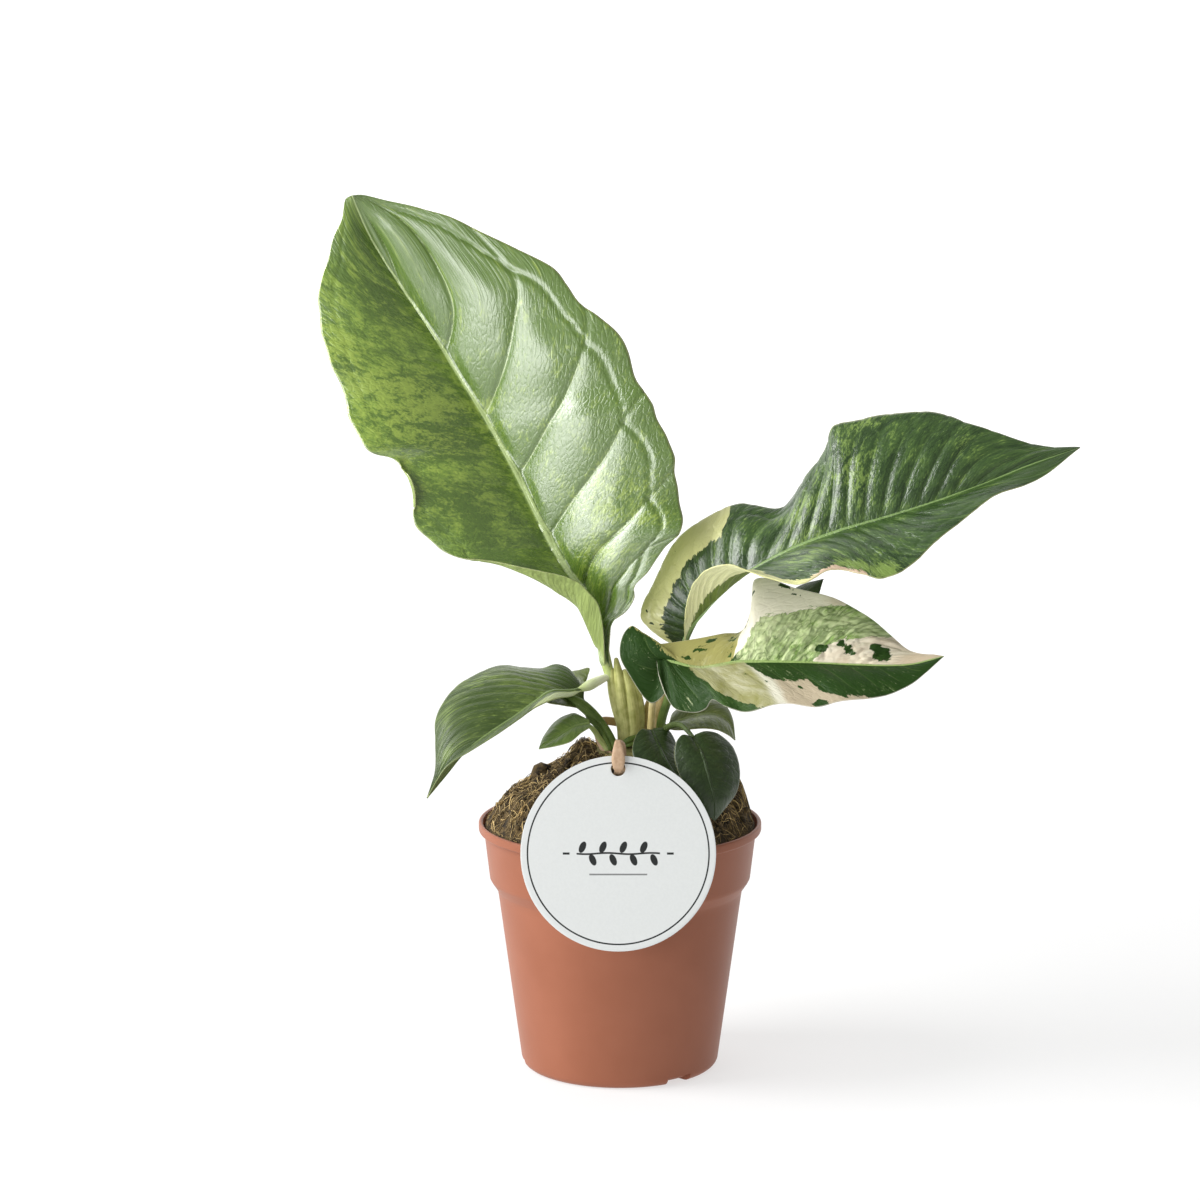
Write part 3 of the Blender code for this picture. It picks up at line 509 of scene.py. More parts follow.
def leaf_top(name, leaf, dark, mid, light, pale_green, rib_colour, specks=0.5,
             cream=(0.62, 0.60, 0.30), blush=(0.80, 0.60, 0.45), olive=(0.50, 0.47, 0.13),
             ragged_mm=9.0, roughness=0.38, coat=0.03, gloss=0.15, veins=0.35, comb=1.0,
             pucker_painted_light_and_bump=0.0):
    """The upper side: clouds and strokes of two greens along the side veins, light flecks,
    pale green where the leaf is marked pale, cream and dark patches with ragged borders, then
    the side veins and the midrib over them all.

    comb above 1 narrows the strokes. pucker_painted_light_and_bump deepens the creases of the pale
    green in the bump, and paints shade into the creases and highlights on the puckers between
    them.
    """
    f = Finish(name)
    grain, ragged, net = leaf_grain(f)
    patch = f.drawn_out(grain, (140.0, 90.0), distortion=0.8)
    stroke = f.drawn_out(grain, (820.0 * comb, 230.0), distortion=0.9)
    fine = f.drawn_out(grain, (2400.0 * comb, 900.0), 2.0)
    # The darker tone field darkens the green: the leaf's own darker patches, and painted shade
    # where a leaf darkens a whole half with it.
    tone = patch * 0.45 + stroke * 0.4 + fine * 0.15 - f.field("dusk") * 0.12
    ground = f.mix(tone.rise(*MIDDLE), dark, mid)
    fleck = stroke * 0.45 + patch * 0.3 + fine * 0.25 + f.field("mottle") * 0.12
    ground = f.mix(fleck.rise(0.55, 0.68) * specks, ground, light)
    ground = f.mix((fine * 0.6 + stroke * 0.4).rise(0.60, 0.68) * 0.3, ground, light)
    pale = f.field("pale") + ragged * 0.9 + (stroke - 0.5) * 0.7 + (fine - 0.5) * 0.3
    deeper = tuple(np.multiply(pale_green, (0.62, 0.74, 0.45)).tolist())
    pale_tone = f.mix((0.5 * stroke + 0.5 * patch).rise(*MIDDLE), deeper, pale_green)
    pale_tone = f.mix(fleck.rise(0.58, 0.70) * 0.6 * specks, pale_tone, light)
    crease = abs(f.drawn_out(grain, (360.0, 120.0), 2.0, 0.5, 1.0) - 0.5)
    # Painted shade: darker green in the creases of the pale green. Painted highlight: light green
    # on the puckers between them.
    pale_tone = f.mix(crease.fall(0.0, 0.12) * pucker_painted_light_and_bump, pale_tone, mid)
    pale_tone = f.mix((crease + ragged * 0.3).rise(0.13, 0.2) * pucker_painted_light_and_bump, pale_tone, light)
    ground = f.mix(pale.rise(0.32, 0.68), ground, pale_tone)
    creamy = (f.field("cream") + ragged * ragged_mm).inside()
    blushing = f.field("blush") + (patch - 0.5) * 0.8
    tint = f.mix(blushing.rise(-0.9, -0.2), olive, cream)
    tint = f.mix(blushing.rise(0.2, 0.9), tint, blush)
    tint = f.mix(stroke.rise(0.6, 0.75) * 0.25, tint, light)
    tint = f.mix(f.field("dull"), tint, dark)
    ground = f.mix(creamy, ground, tint)
    shade = (f.field("shade") + ragged * (0.7 * ragged_mm)).inside()
    ground = f.mix(shade, ground, f.mix((tone - 0.05).rise(*MIDDLE), dark, mid))
    bare = (1.0 - creamy) * f.field("veined")
    vein = (f.field("phase").off_whole() * leaf.spacing).fall(0.12, 0.35) \
        * f.field("reach").rise(1.0, 3.0)
    joint = abs(f.field("collector")).fall(0.15, 0.4)
    inner = f.field("edge").fall(0.60, 0.80)
    ground = f.mix(vein.most(joint * 0.15) * bare * inner * veins, ground, rib_colour)
    rib = f.field("reach").fall(0.85, 1.1)
    ground = f.mix(rib * (1.0 - 0.5 * creamy), ground, rib_colour)
    edge = f.field("edge").rise(0.985, 0.997)
    ground = f.mix(edge * 0.4, ground, cream)
    height = crease.rise(0.0, 0.12) * f.field("pale") * (1.0 - creamy) * (3.5 * pucker_painted_light_and_bump) \
        + net.rise(0.0, 0.2) * 0.5 + fine * 0.5 + stroke * 0.8
    return f.surface(Base_Color=ground, Roughness=0.15 * patch + 0.08 * fine
                     + (roughness - 0.11), Normal=f.bump(height, 0.16),
                     Specular_IOR_Level=gloss, Coat_Weight=coat, Coat_Roughness=0.22)


def leaf_under(name, leaf, colour, vein_colour, cream=(0.70, 0.68, 0.40), roughness=0.5):
    """The paler, duller underside, where the side veins show."""
    f = Finish(name)
    grain, ragged, net = leaf_grain(f)
    stroke = f.drawn_out(grain, (700.0, 150.0))
    ground = f.mix(stroke.rise(0.35, 0.65), tuple(0.65 * c for c in colour), colour)
    vein = (f.field("phase").off_whole() * leaf.spacing).fall(0.15, 0.6)
    rib = f.field("reach").fall(0.9, 1.3)
    ground = f.mix((vein * 0.4).most(rib), ground, vein_colour)
    creamy = (f.field("cream") + ragged * 9.0).inside()
    ground = f.mix(creamy, ground, f.mix(stroke.rise(0.3, 0.8), cream,
                                         tuple(0.85 * c for c in cream)))
    shade = (f.field("shade") + ragged * 6.0).inside()
    ground = f.mix(shade * creamy, ground, tuple(0.5 * c for c in colour))
    return f.surface(Base_Color=ground, Roughness=roughness + 0.1 * stroke,
                     Normal=f.bump(net.fall(0.0, 0.2), 0.1), Specular_IOR_Level=0.25)


# ---------------------------------------------------------------- the ten leaves

def make_large_leaf():
    """The tall leaf: marbled yellow-green, a curled foot on its left, deep pillows between the
    side veins of its right half."""
    leaf = Leaf(
        midrib=[(0, -6, -1, 172), (0.08, -8, 1, 184), (0.17, -13, 6, 200),
                (0.26, -23, 10, 214), (0.36, -33, 17, 231), (0.47, -43, 25, 250),
                (0.6, -56, 34, 272), (0.71, -69, 41, 292), (0.82, -82, 47, 312),
                (0.91, -96, 51, 332), (0.96, -107, 53, 350), (1, -114, 50, 367)],
        left=[(0, -8, -2, 173), (0.04, -11, -3, 179), (0.08, -14.5, -4, 186.5),
              (0.16, -24.5, -6, 201),
              (0.25, -47, -6, 216), (0.33, -71, -4, 221), (0.4, -86, 0, 235),
              (0.46, -89, 6, 248), (0.52, -93, 14, 258), (0.58, -107, 12, 264),
              (0.63, -114, 18, 276), (0.68, -118, 24, 287), (0.75, -125, 30, 303),
              (0.83, -128, 38, 322), (0.9, -125, 44, 340), (0.955, -119.5, 48, 356),
              (0.985, -117, 50, 365), (1, -114, 50, 367)],
        right=[(0, -4.4, -3, 173), (0.07, -4.5, -6, 187), (0.11, -2.8, -8, 195),
               (0.135, 2.8, -8, 199), (0.16, 6, -8, 204), (0.19, 7, -8, 210),
               (0.22, 11.5, -8, 216), (0.26, 18, -8, 225), (0.33, 26, -8, 233),
               (0.4, 25, -2, 245), (0.48, 22, 2, 262), (0.56, 14, 6, 282),
               (0.62, 7, 12, 292), (0.68, 0, 16, 310), (0.75, -16, 24, 324),
               (0.81, -29, 30, 338), (0.87, -58, 40, 352), (0.93, -83, 46, 362),
               (0.965, -100, 49.5, 366), (0.988, -110, 50.5, 368), (1, -114, 50, 367)],
        size=(230, 120), veins=7, lean=(0.05, 0.27), first=(0.1, 0.31), pillow=(0.6, 2.2),
        groove=(0.2, 0.8), ripple=0.7, ripples=7, rib=1.9, collector=0.82, frill=2.2,
        curls=[(-1, [(0, -6.6, -6, 176), (0.04, -7.2, -9.5, 191), (0.08, -9, -12, 202),
                     (0.12, -13.6, -13, 207.5), (0.16, -19.4, -12.5, 212),
                     (0.2, -29, -11, 215.4), (0.25, -44, -9, 218), (0.3, -61, -6, 219.6)]),
               (-1, [(0.43, -86.2, 0.6, 241.5), (0.455, -86.6, 1.6, 248.6),
                     (0.48, -88.2, 4.4, 253.6), (0.505, -91.4, 9.6, 256.6)])])
    u, t = leaf.u, leaf.t
    # Painted shade: the whole right half (t > 0) is darkened; the spots are the leaf's own darker
    # patches.
    dusk = np.maximum(
        spots(u, t, [(0.57, -0.35, 0.06, 0.4), (0.86, -0.26, 0.05, 0.3),
                     (0.42, -0.6, 0.05, 0.4), (0.5, 0.88, 0.05, 0.12),
                     (0.33, 0.75, 0.05, 0.2), (0.93, -0.5, 0.03, 0.5),
                     (0.30, -0.6, 0.06, 0.5), (0.80, 0.9, 0.08, 0.15), (0.2, 0.6, 0.05, 0.4)]),
        2.4 * (t > 0.0))
    mottle = np.where(t < 0, 0.42, 0.2) + 0.8 * spots(u, t, [
        (0.75, -0.9, 0.07, 0.2), (0.68, -0.6, 0.03, 0.4), (0.64, -0.3, 0.02, 0.5),
        (0.4, 0.6, 0.07, 0.3), (0.28, 0.4, 0.08, 0.3)]) \
        + 0.4 * spots(u, t, [(0.60, -0.5, 0.1, 0.5)]) - 0.5 * spots(u, t, [(0.3, -0.7, 0.08, 0.4)])
    leaf.mark(dusk=dusk, mottle=mottle, veined=np.where(t < 0, 0.12, 1.0))
    top = leaf_top("large_leaf_upper_side", leaf, (0.090, 0.165, 0.018), (0.225, 0.355, 0.042),
                   (0.30, 0.41, 0.060), (0.47, 0.55, 0.32), (0.42, 0.54, 0.20), specks=0.8,
                   veins=0.8, comb=0.55, roughness=0.27, coat=0.9, gloss=1.0)
    under = leaf_under("large_leaf_underside", leaf, (0.33, 0.42, 0.13), (0.42, 0.50, 0.22))
    leaf.piece("large_leaf_lamina", "large_leaf_blade", [top, under])


def make_upper_right_leaf():
    """The dark leaf with a cream margin that folds over near its base."""
    leaf = Leaf(
        midrib=[(0, 26, 1, 180), (0.1, 30, -3, 190), (0.2, 36, -8, 198),
                (0.3, 43, -12, 206), (0.38, 54, -15, 216), (0.47, 71, -17, 226),
                (0.57, 91, -18, 234), (0.68, 111, -18, 240), (0.79, 130, -17, 246),
                (0.89, 150, -15, 253), (0.95, 170, -13, 261), (1, 191, -10, 268)],
        left=[(0, 24, 2, 181), (0.05, 17, 2, 185), (0.1, 12, 3, 189), (0.15, 9, 4, 195),
              (0.21, 13, 6, 207), (0.27, 22, 8, 223), (0.33, 35, 9, 234),
              (0.39, 50, 10, 241), (0.44, 68, 4, 240), (0.5, 78, 6, 254),
              (0.55, 86, 10, 264), (0.61, 91, 12, 274), (0.69, 112, 10, 279),
              (0.77, 135, 6, 280), (0.84, 148, 0, 276), (0.91, 173, -7, 269),
              (1, 191, -10, 268)],
        right=[(0, 28, 0, 181), (0.1, 27, -12, 198), (0.18, 30, -24, 212),
               (0.25, 35, -31, 220), (0.31, 44, -36, 223), (0.37, 54, -40, 221),
               (0.43, 73, -46, 217), (0.5, 86, -46, 223), (0.57, 98, -48, 222),
               (0.63, 107, -50, 220), (0.7, 119, -47, 226), (0.78, 134, -40, 238),
               (0.87, 152, -31, 250), (0.94, 171, -22, 256), (1, 191, -10, 268)],
        size=(230, 100), veins=24, lean=(0.07, 0.12), pillow=(0.7, 0.4), groove=(0.3, 0.2),
        ripple=0.4, ripples=7, rib=0.9, collector=0.78, frill=1.2)
    u, t = leaf.u, leaf.t
    outer = leaf.past([(0, -0.60), (0.1, -0.62), (0.135, -0.56), (0.2, -0.56), (0.26, -0.60),
                       (0.32, -0.60), (0.353, -0.58), (0.375, -0.85), (0.39, -1.6)], -1.0)
    folded = np.minimum(leaf.past([(0, 0.0), (0.05, 0.1), (0.2, 0.24), (0.3, 0.28),
                                   (0.37, 0.40), (0.41, 0.9), (0.46, 0.95), (0.49, 0.95),
                                   (0.51, 0.93), (0.56, 0.93), (0.59, 0.97), (0.60, 1.6)]),
                        40.0)
    cream = np.maximum(outer, folded)
    mottle = 0.12 + 0.7 * spots(u, t, [(0.5, -0.25, 0.05, 0.5), (0.62, -0.5, 0.05, 0.4),
                                       (0.66, -0.93, 0.03, 0.1), (0.83, -0.6, 0.02, 0.2),
                                       (0.48, 0.4, 0.05, 0.3)]) \
        + 2.1 * spots(u, t, [(0.64, 0.94, 0.035, 0.16), (0.56, 0.85, 0.05, 0.10)])
    leaf.mark(cream=cream, mottle=mottle, blush=rounded(0.42, 0.5, u),
              dusk=rounded(0.30, 0.2, u), veined=np.where(t < 0, 1.0, 0.25),
              shade=leaf.discs([(0.16, -0.86, 0.8), (0.27, -0.9, 0.6), (0.12, -0.8, 1.0)]))
    top = leaf_top("upper_right_leaf_upper_side", leaf, (0.018, 0.046, 0.008),
                   (0.052, 0.108, 0.020), (0.26, 0.38, 0.08), (0.205, 0.27, 0.165),
                   (0.22, 0.34, 0.11), specks=0.7, cream=(0.69, 0.69, 0.31),
                   blush=(0.62, 0.46, 0.32), olive=(0.5, 0.5, 0.2), roughness=0.29, veins=0.15,
                   coat=0.4, gloss=0.6)
    under = leaf_under("upper_right_leaf_underside", leaf, (0.17, 0.24, 0.05),
                       (0.24, 0.30, 0.09), cream=(0.86, 0.87, 0.50))
    leaf.piece("upper_right_lamina", "upper_right_blade", [top, under])


def make_lower_right_leaf():
    """The patched leaf: cream, pink and pale green with dark flecks, puckered on its left
    half, and curled at its base."""
    leaf = Leaf(
        midrib=[(0, 15, -16, 181), (0.1, 17, -17, 181), (0.2, 22, -19, 179),
                (0.3, 33, -22, 177), (0.45, 50, -26, 180), (0.6, 74, -31, 181),
                (0.75, 98, -36, 181), (0.9, 119, -40, 182), (1, 133, -42, 186)],
        left=[(0, 15, -16, 181), (0.03, 17, -20, 173), (0.06, 19, -22, 167),
              (0.085, 14, -22, 162), (0.11, 10, -21, 164), (0.14, 4, -19, 173),
              (0.17, 0, -17, 181), (0.2, 1, -15, 189), (0.23, 5, -13, 193),
              (0.26, 9, -12, 189), (0.29, 13, -12, 185), (0.34, 31, -11, 187),
              (0.38, 43, -9, 189), (0.42, 51, -7, 190), (0.46, 55, -6, 199),
              (0.5, 57, -5, 211), (0.57, 74, -9, 208), (0.65, 89, -14, 205),
              (0.75, 105, -22, 197), (0.85, 118, -30, 187), (0.93, 126, -37, 186),
              (1, 133, -42, 186)],
        right=[(0, 15, -16, 181), (0.05, 16, -25, 174), (0.1, 19, -30, 167),
               (0.15, 23, -34, 162), (0.2, 30, -36, 161), (0.25, 35, -38, 163),
               (0.285, 38, -38, 167), (0.32, 43, -42, 165), (0.37, 51, -44, 163),
               (0.44, 62, -48, 167), (0.5, 69, -50, 168), (0.57, 80, -53, 167),
               (0.65, 90, -55, 170), (0.75, 103, -54, 171), (0.86, 116, -50, 174),
               (0.94, 125, -46, 180), (1, 133, -42, 186)],
        size=(280, 120), veins=13, lean=(0.10, 0.08), pillow=(0.5, 0.25),
        groove=(0.1, 0.1), ripple=0.25, rib=0.8, collector=0.86, frill=0.8)
    u, t = leaf.u, leaf.t
    corner = np.minimum(leaf.past([(0.36, -1.6), (0.42, -0.1), (0.5, -0.45), (0.56, -0.6),
                                   (0.63, -0.80), (0.68, -0.94), (0.70, -1.6)], -1.0),
                        leaf.ahead([(-1, 0.42), (-0.3, 0.41), (0, 0.38)]))
    leaf.quilt(2.6, 3.0, (t < 0) * rounded(0.4, 0.46, u) * rounded(1.0, 0.80, u)
               * (0.12 + 0.88 * rounded(2.0, -2.0, corner)) * rounded(0.98, 0.8, -t))
    beside = np.minimum(leaf.past([(0.6, 0.3), (0.63, 0.0), (0.67, -0.25), (0.74, -0.55),
                                   (0.80, -0.85), (0.84, -1.6)]), -t * 40.0)
    lower = np.minimum(leaf.past([(0.2, -0.1), (0.455, -0.05), (0.475, 0.33), (0.505, 0.48),
                                  (0.545, 0.52), (0.59, 0.44), (0.605, 0.67), (0.64, 0.88),
                                  (0.745, 0.95), (0.76, 1.6)]),
                       leaf.ahead([(0, 0.25), (0.6, 0.30), (0.85, 0.38), (1, 0.42)]))
    lower = np.where(t > 0, lower, -FAR)
    curled = np.where(t < -0.02, np.minimum((u - 0.23) * 110.0, (0.41 - u) * 110.0), -FAR)
    cream = np.maximum.reduce([corner, beside, lower, curled])
    shade = leaf.discs([(0.815, -0.36, 2.4), (0.785, -0.42, 2.3), (0.80, -0.26, 1.9),
                        (0.72, -0.24, 1.9), (0.70, -0.30, 1.5), (0.65, -0.20, 1.5),
                        (0.59, 0.97, 2.4), (0.49, -0.85, 0.9), (0.455, -0.75, 1.0),
                        (0.34, -0.55, 0.9), (0.345, -0.66, 0.7), (0.36, -0.8, 1.0),
                        (0.30, -0.3, 0.9), (0.33, -0.2, 0.6), (0.56, 0.62, 0.6),
                        (0.43, 0.35, 0.5), (0.48, 0.55, 0.6), (0.5, 0.25, 0.5),
                        (0.55, -0.97, 1.2), (0.57, -0.9, 0.8)])
    blush = 0.9 * spots(u, t, [(0.95, -0.5, 0.06, 0.8)]) \
        + 0.55 * (t < 0) * rounded(0.6, 0.66, u) \
        + (t > 0) * (1.8 * rounded(0.445, 0.53, u) - 0.72)
    blush = np.where(curled > -2.0, -0.95, blush)
    dusk = np.maximum((t > 0) * rounded(0.45, 0.5, u), rounded(0.3, 0.27, u))
    pale_side = (t < 0) * rounded(0.40, 0.46, u)
    leaf.mark(cream=cream, shade=shade, blush=blush, dusk=dusk,
              mottle=-0.4 + 1.9 * pale_side + 0.7 * spots(u, t, [(0.2, 0.8, 0.02, 0.2),
                                                                (0.56, 0.3, 0.02, 0.15)]),
              pale=pale_side * (0.66 - 0.2 * spots(u, t, [(0.5, -0.45, 0.06, 0.4)])
                                + 0.2 * spots(u, t, [(0.66, -0.55, 0.06, 0.4)])),
              veined=0.3, dull=0.3 * (t > 0))
    # The pale green's creases get painted shade and its puckers painted highlights, besides their
    # bump.
    top = leaf_top("lower_right_leaf_upper_side", leaf, (0.020, 0.052, 0.009),
                   (0.042, 0.090, 0.018), (0.66, 0.72, 0.42), (0.42, 0.54, 0.24),
                   (0.30, 0.42, 0.14), specks=0.7, cream=(0.86, 0.82, 0.67),
                   blush=(0.62, 0.51, 0.365), pucker_painted_light_and_bump=0.5, olive=(0.34, 0.32, 0.11),
                   ragged_mm=10.0, roughness=0.4, gloss=0.12)
    under = leaf_under("lower_right_leaf_underside", leaf, (0.36, 0.36, 0.14),
                       (0.5, 0.5, 0.25))
    leaf.piece("lower_right_lamina", "lower_right_blade", [top, under])


def make_left_leaf():
    """The arching dark green leaf, with a light margin near its base."""
    leaf = Leaf(
        midrib=[(0, -16, -10, 165), (0.12, -21, -14, 165), (0.25, -29, -20, 166),
                (0.38, -35, -25, 163), (0.52, -43, -30, 158), (0.68, -54, -36, 152),
                (0.82, -64, -40, 145), (0.92, -72, -43, 136), (1, -80, -46, 127)],
        left=[(0, -16, -11, 165), (0.12, -20, -22, 165), (0.25, -27, -32, 166),
              (0.38, -35, -39, 164), (0.5, -42, -44, 160), (0.62, -50, -47, 155),
              (0.74, -60, -49, 149), (0.85, -71, -50, 142), (0.93, -76, -49, 135),
              (1, -80, -46, 127)],
        right=[(0, -16, -9, 166), (0.05, -19, -6, 170), (0.1, -22, -3, 173),
               (0.15, -27, -1, 174), (0.22, -33, 1, 172), (0.3, -42, 3, 172),
               (0.38, -50, 2, 173), (0.46, -59, -2, 171), (0.55, -67, -7, 167),
               (0.64, -73, -14, 162), (0.73, -77, -22, 155), (0.82, -77, -31, 147),
               (0.92, -77, -41, 137), (1, -80, -46, 127)],
        size=(170, 90), veins=14, lean=(0.2, 0.42), pillow=(0.2, 0.35), groove=(0.1, 0.1),
        rib=0.8, collector=0.9, frill=0.8)
    u, t = leaf.u, leaf.t
    leaf.mark(mottle=0.1 + 1.1 * spots(u, t, [(0.5, 0.8, 0.07, 0.12), (0.72, 0.75, 0.05, 0.12),
                                              (0.85, 0.5, 0.04, 0.2)]),
              dusk=rounded(0.2, 0.1, u) + 0.8 * rounded(0.35, 0.6, u)
              + 1.6 * spots(u, t, [(0.14, 0.6, 0.08, 0.6)]), veined=0.45,
              shade=leaf.discs([(0.06, 0.45, 4.0), (0.10, 0.7, 4.5), (0.15, 0.75, 3.0)]),
              cream=np.minimum(leaf.past([(0, 0.2), (0.1, -0.2), (0.35, -0.8), (0.45, -1.2)],
                                         -1.0), 40.0))
    top = leaf_top("left_leaf_upper_side", leaf, (0.040, 0.072, 0.011), (0.105, 0.155, 0.030),
                   (0.24, 0.34, 0.07), (0.14, 0.20, 0.07), (0.15, 0.22, 0.06), specks=0.5,
                   cream=(0.36, 0.42, 0.17), ragged_mm=3.0, gloss=0.4, coat=0.2)
    under = leaf_under("left_leaf_underside", leaf, (0.12, 0.17, 0.05), (0.30, 0.36, 0.16))
    leaf.piece("left_lamina", "left_blade", [top, under])


SMALL_LEAVES = {
    "under_left_blade": dict(
        midrib=[(0, -13, -4, 156), (0.3, -19, 0, 159), (0.6, -27, 3, 162), (1, -38, 4, 165)],
        left=[(0, -14, -6, 155), (0.2, -18, -9, 157), (0.45, -25, -12, 159),
              (0.75, -32, -8, 160), (1, -38, 4, 165)],
        right=[(0, -15, -3, 157), (0.1, -16.6, 2, 163.5), (0.19, -12.8, 6, 170.8),
               (0.3, -17.6, 8, 169.8), (0.5, -22, 12, 168), (0.8, -31, 10, 167.4),
               (1, -38, 4, 165)]),
    "small_left_blade": dict(
        midrib=[(0, -13, -16, 152), (0.4, -20, -20, 151), (0.75, -27, -23, 147),
                (1, -34, -25, 143)],
        left=[(0, -12, -18, 151), (0.25, -16, -25, 150), (0.55, -21, -29, 147),
              (0.8, -27, -28, 145), (1, -34, -25, 143)],
        right=[(0, -13, -15, 153), (0.15, -16, -12, 154), (0.35, -20, -10, 155),
               (0.6, -27, -12, 152), (0.82, -32, -18, 147), (1, -34, -25, 143)]),
    "front_blade": dict(
        midrib=[(0, 13, -16, 149), (0.25, 16, -23, 144), (0.5, 19, -29, 139),
                (0.75, 24, -34, 132), (1, 30, -38, 125)],
        left=[(0, 14, -15, 149.5), (0.08, 18.6, -14, 149.6), (0.18, 21.6, -15, 147.4),
              (0.34, 23.8, -18, 142.6), (0.55, 26.4, -24, 137), (0.8, 31, -31, 129),
              (1, 30, -38, 125)],
        right=[(0, 12, -17, 149.5), (0.07, 8.8, -19, 150), (0.16, 6.2, -22, 147.6),
               (0.32, 5, -28, 142.6), (0.52, 8, -34, 136), (0.75, 15, -38, 130),
               (0.9, 23, -39, 126), (1, 30, -38, 125)]),
    "hanging_blade": dict(
        midrib=[(0, 30, -32, 149), (0.25, 34, -38, 143), (0.55, 37, -43, 133),
                (0.8, 39, -45, 125), (1, 39, -44, 117)],
        left=[(0, 31, -31, 150.5), (0.07, 35.5, -29, 151.6), (0.16, 41, -27, 150),
              (0.3, 46.4, -27, 145), (0.46, 49, -29, 139), (0.62, 49.6, -32, 133),
              (0.78, 48, -36, 127), (0.9, 43.5, -40, 121.4), (1, 39, -44, 117)],
        right=[(0, 29, -33, 150.5), (0.07, 25.4, -34, 151), (0.18, 22.6, -36, 147.4),
               (0.36, 22.6, -39, 141.6), (0.55, 25, -43, 134.6), (0.76, 29.6, -45, 126.6),
               (0.92, 35.4, -45, 120), (1, 39, -44, 117)]),
    "side_blade": dict(
        midrib=[(0, 20, 6, 146), (0.3, 29, 12, 148), (0.6, 39, 15, 149), (0.82, 46, 13, 146),
                (1, 49, 9, 139)],
        left=[(0, 21, 7, 147), (0.15, 23, 16, 150), (0.4, 33, 24, 154), (0.65, 44, 22, 152),
              (0.85, 48, 16, 147), (1, 49, 9, 139)],
        right=[(0, 21, 4, 145), (0.2, 25, 2, 145), (0.45, 33, 1, 146), (0.7, 41, 3, 145),
               (0.87, 46, 6, 142), (1, 49, 9, 139)]),
    "rear_blade": dict(
        midrib=[(0, 38, 24, 163), (0.3, 49, 33, 170), (0.65, 68, 42, 187), (1, 88, 46, 202)],
        left=[(0, 37, 24, 164), (0.2, 41, 33, 169), (0.5, 56, 46, 182), (0.8, 76, 50, 197),
              (1, 88, 46, 202)],
        right=[(0, 39, 23, 162), (0.2, 48, 27, 162), (0.5, 66, 34, 174), (0.8, 83, 42, 190),
               (1, 88, 46, 202)]),
}


def make_small_leaves():
    """The six leaves low on the plant, each in one of three pairs of greens: the darkest greens
    carry painted shade, the bright greens painted light.
    """
    # Painted shade: the darkest greens are the leaves' green darkened to the shade they stand in.
    # Painted light: the bright greens are lightened beyond the leaf's own green.
    dark_greens_with_painted_shade = ((0.016, 0.034, 0.006), (0.026, 0.052, 0.010), (0.05, 0.085, 0.02),
               (0.05, 0.08, 0.03), (0.026, 0.050, 0.010))
    bright_greens_with_painted_light = ((0.15, 0.24, 0.055), (0.22, 0.33, 0.08), (0.38, 0.48, 0.16),
              (0.2, 0.3, 0.1), (0.28, 0.40, 0.12))
    olive = ((0.075, 0.105, 0.026), (0.14, 0.18, 0.05), (0.26, 0.30, 0.10),
             (0.2, 0.3, 0.1), (0.20, 0.26, 0.09))
    for node, curves in SMALL_LEAVES.items():
        leaf = Leaf(size=(70, 48), veins=6, lean=(0.2, 0.2), pillow=(0.4, 0.4),
                    groove=(0.12, 0.12), rib=0.4, frill=0.6, **curves)
        leaf.mark(mottle=0.3)
        colours = {"small_left_blade": bright_greens_with_painted_light, "side_blade": olive,
                   "under_left_blade": olive}.get(node, dark_greens_with_painted_shade)
        name = node.replace("_blade", "")
        top = leaf_top(name + "_upper_side", leaf, *colours, specks=0.3, gloss=0.4, coat=0.2)
        under = leaf_under(name + "_underside", leaf, (0.08, 0.11, 0.03), (0.16, 0.20, 0.07))
        leaf.piece(name + "_lamina", node, [top, under], 0.4)


# ---------------------------------------------------------------- shoots and petioles

def stalk_finish(name, colour, second, tip=None, roughness=0.42):
    """Stalk skin: long faint streaks along it, a few pale pores, and a change of colour
    towards the tip."""
    f = Finish(name)
    along_and_round = f.node("ShaderNodeTexCoord", output="UV")
    run, _, _ = f.split(along_and_round)
    place = f.place()
    streak = f.drawn_out(along_and_round, (3.0, 22.0))
    cloud = f.noise(place, 260.0, 3.0)
    ground = f.mix((0.5 * streak + 0.5 * cloud).rise(0.34, 0.62), colour, second)
    if tip is not None:
        ground = f.mix((run + 0.3 * (cloud - 0.5)).rise(0.35, 0.75), ground, tip)
    pores = f.cells(place, 900.0).fall(0.08, 0.16)
    ground = f.mix(pores * 0.3, ground, (0.55, 0.58, 0.30))
    return f.surface(Base_Color=ground, Roughness=roughness + 0.12 * cloud,
                     Normal=f.bump(streak, 0.08), Specular_IOR_Level=0.25)


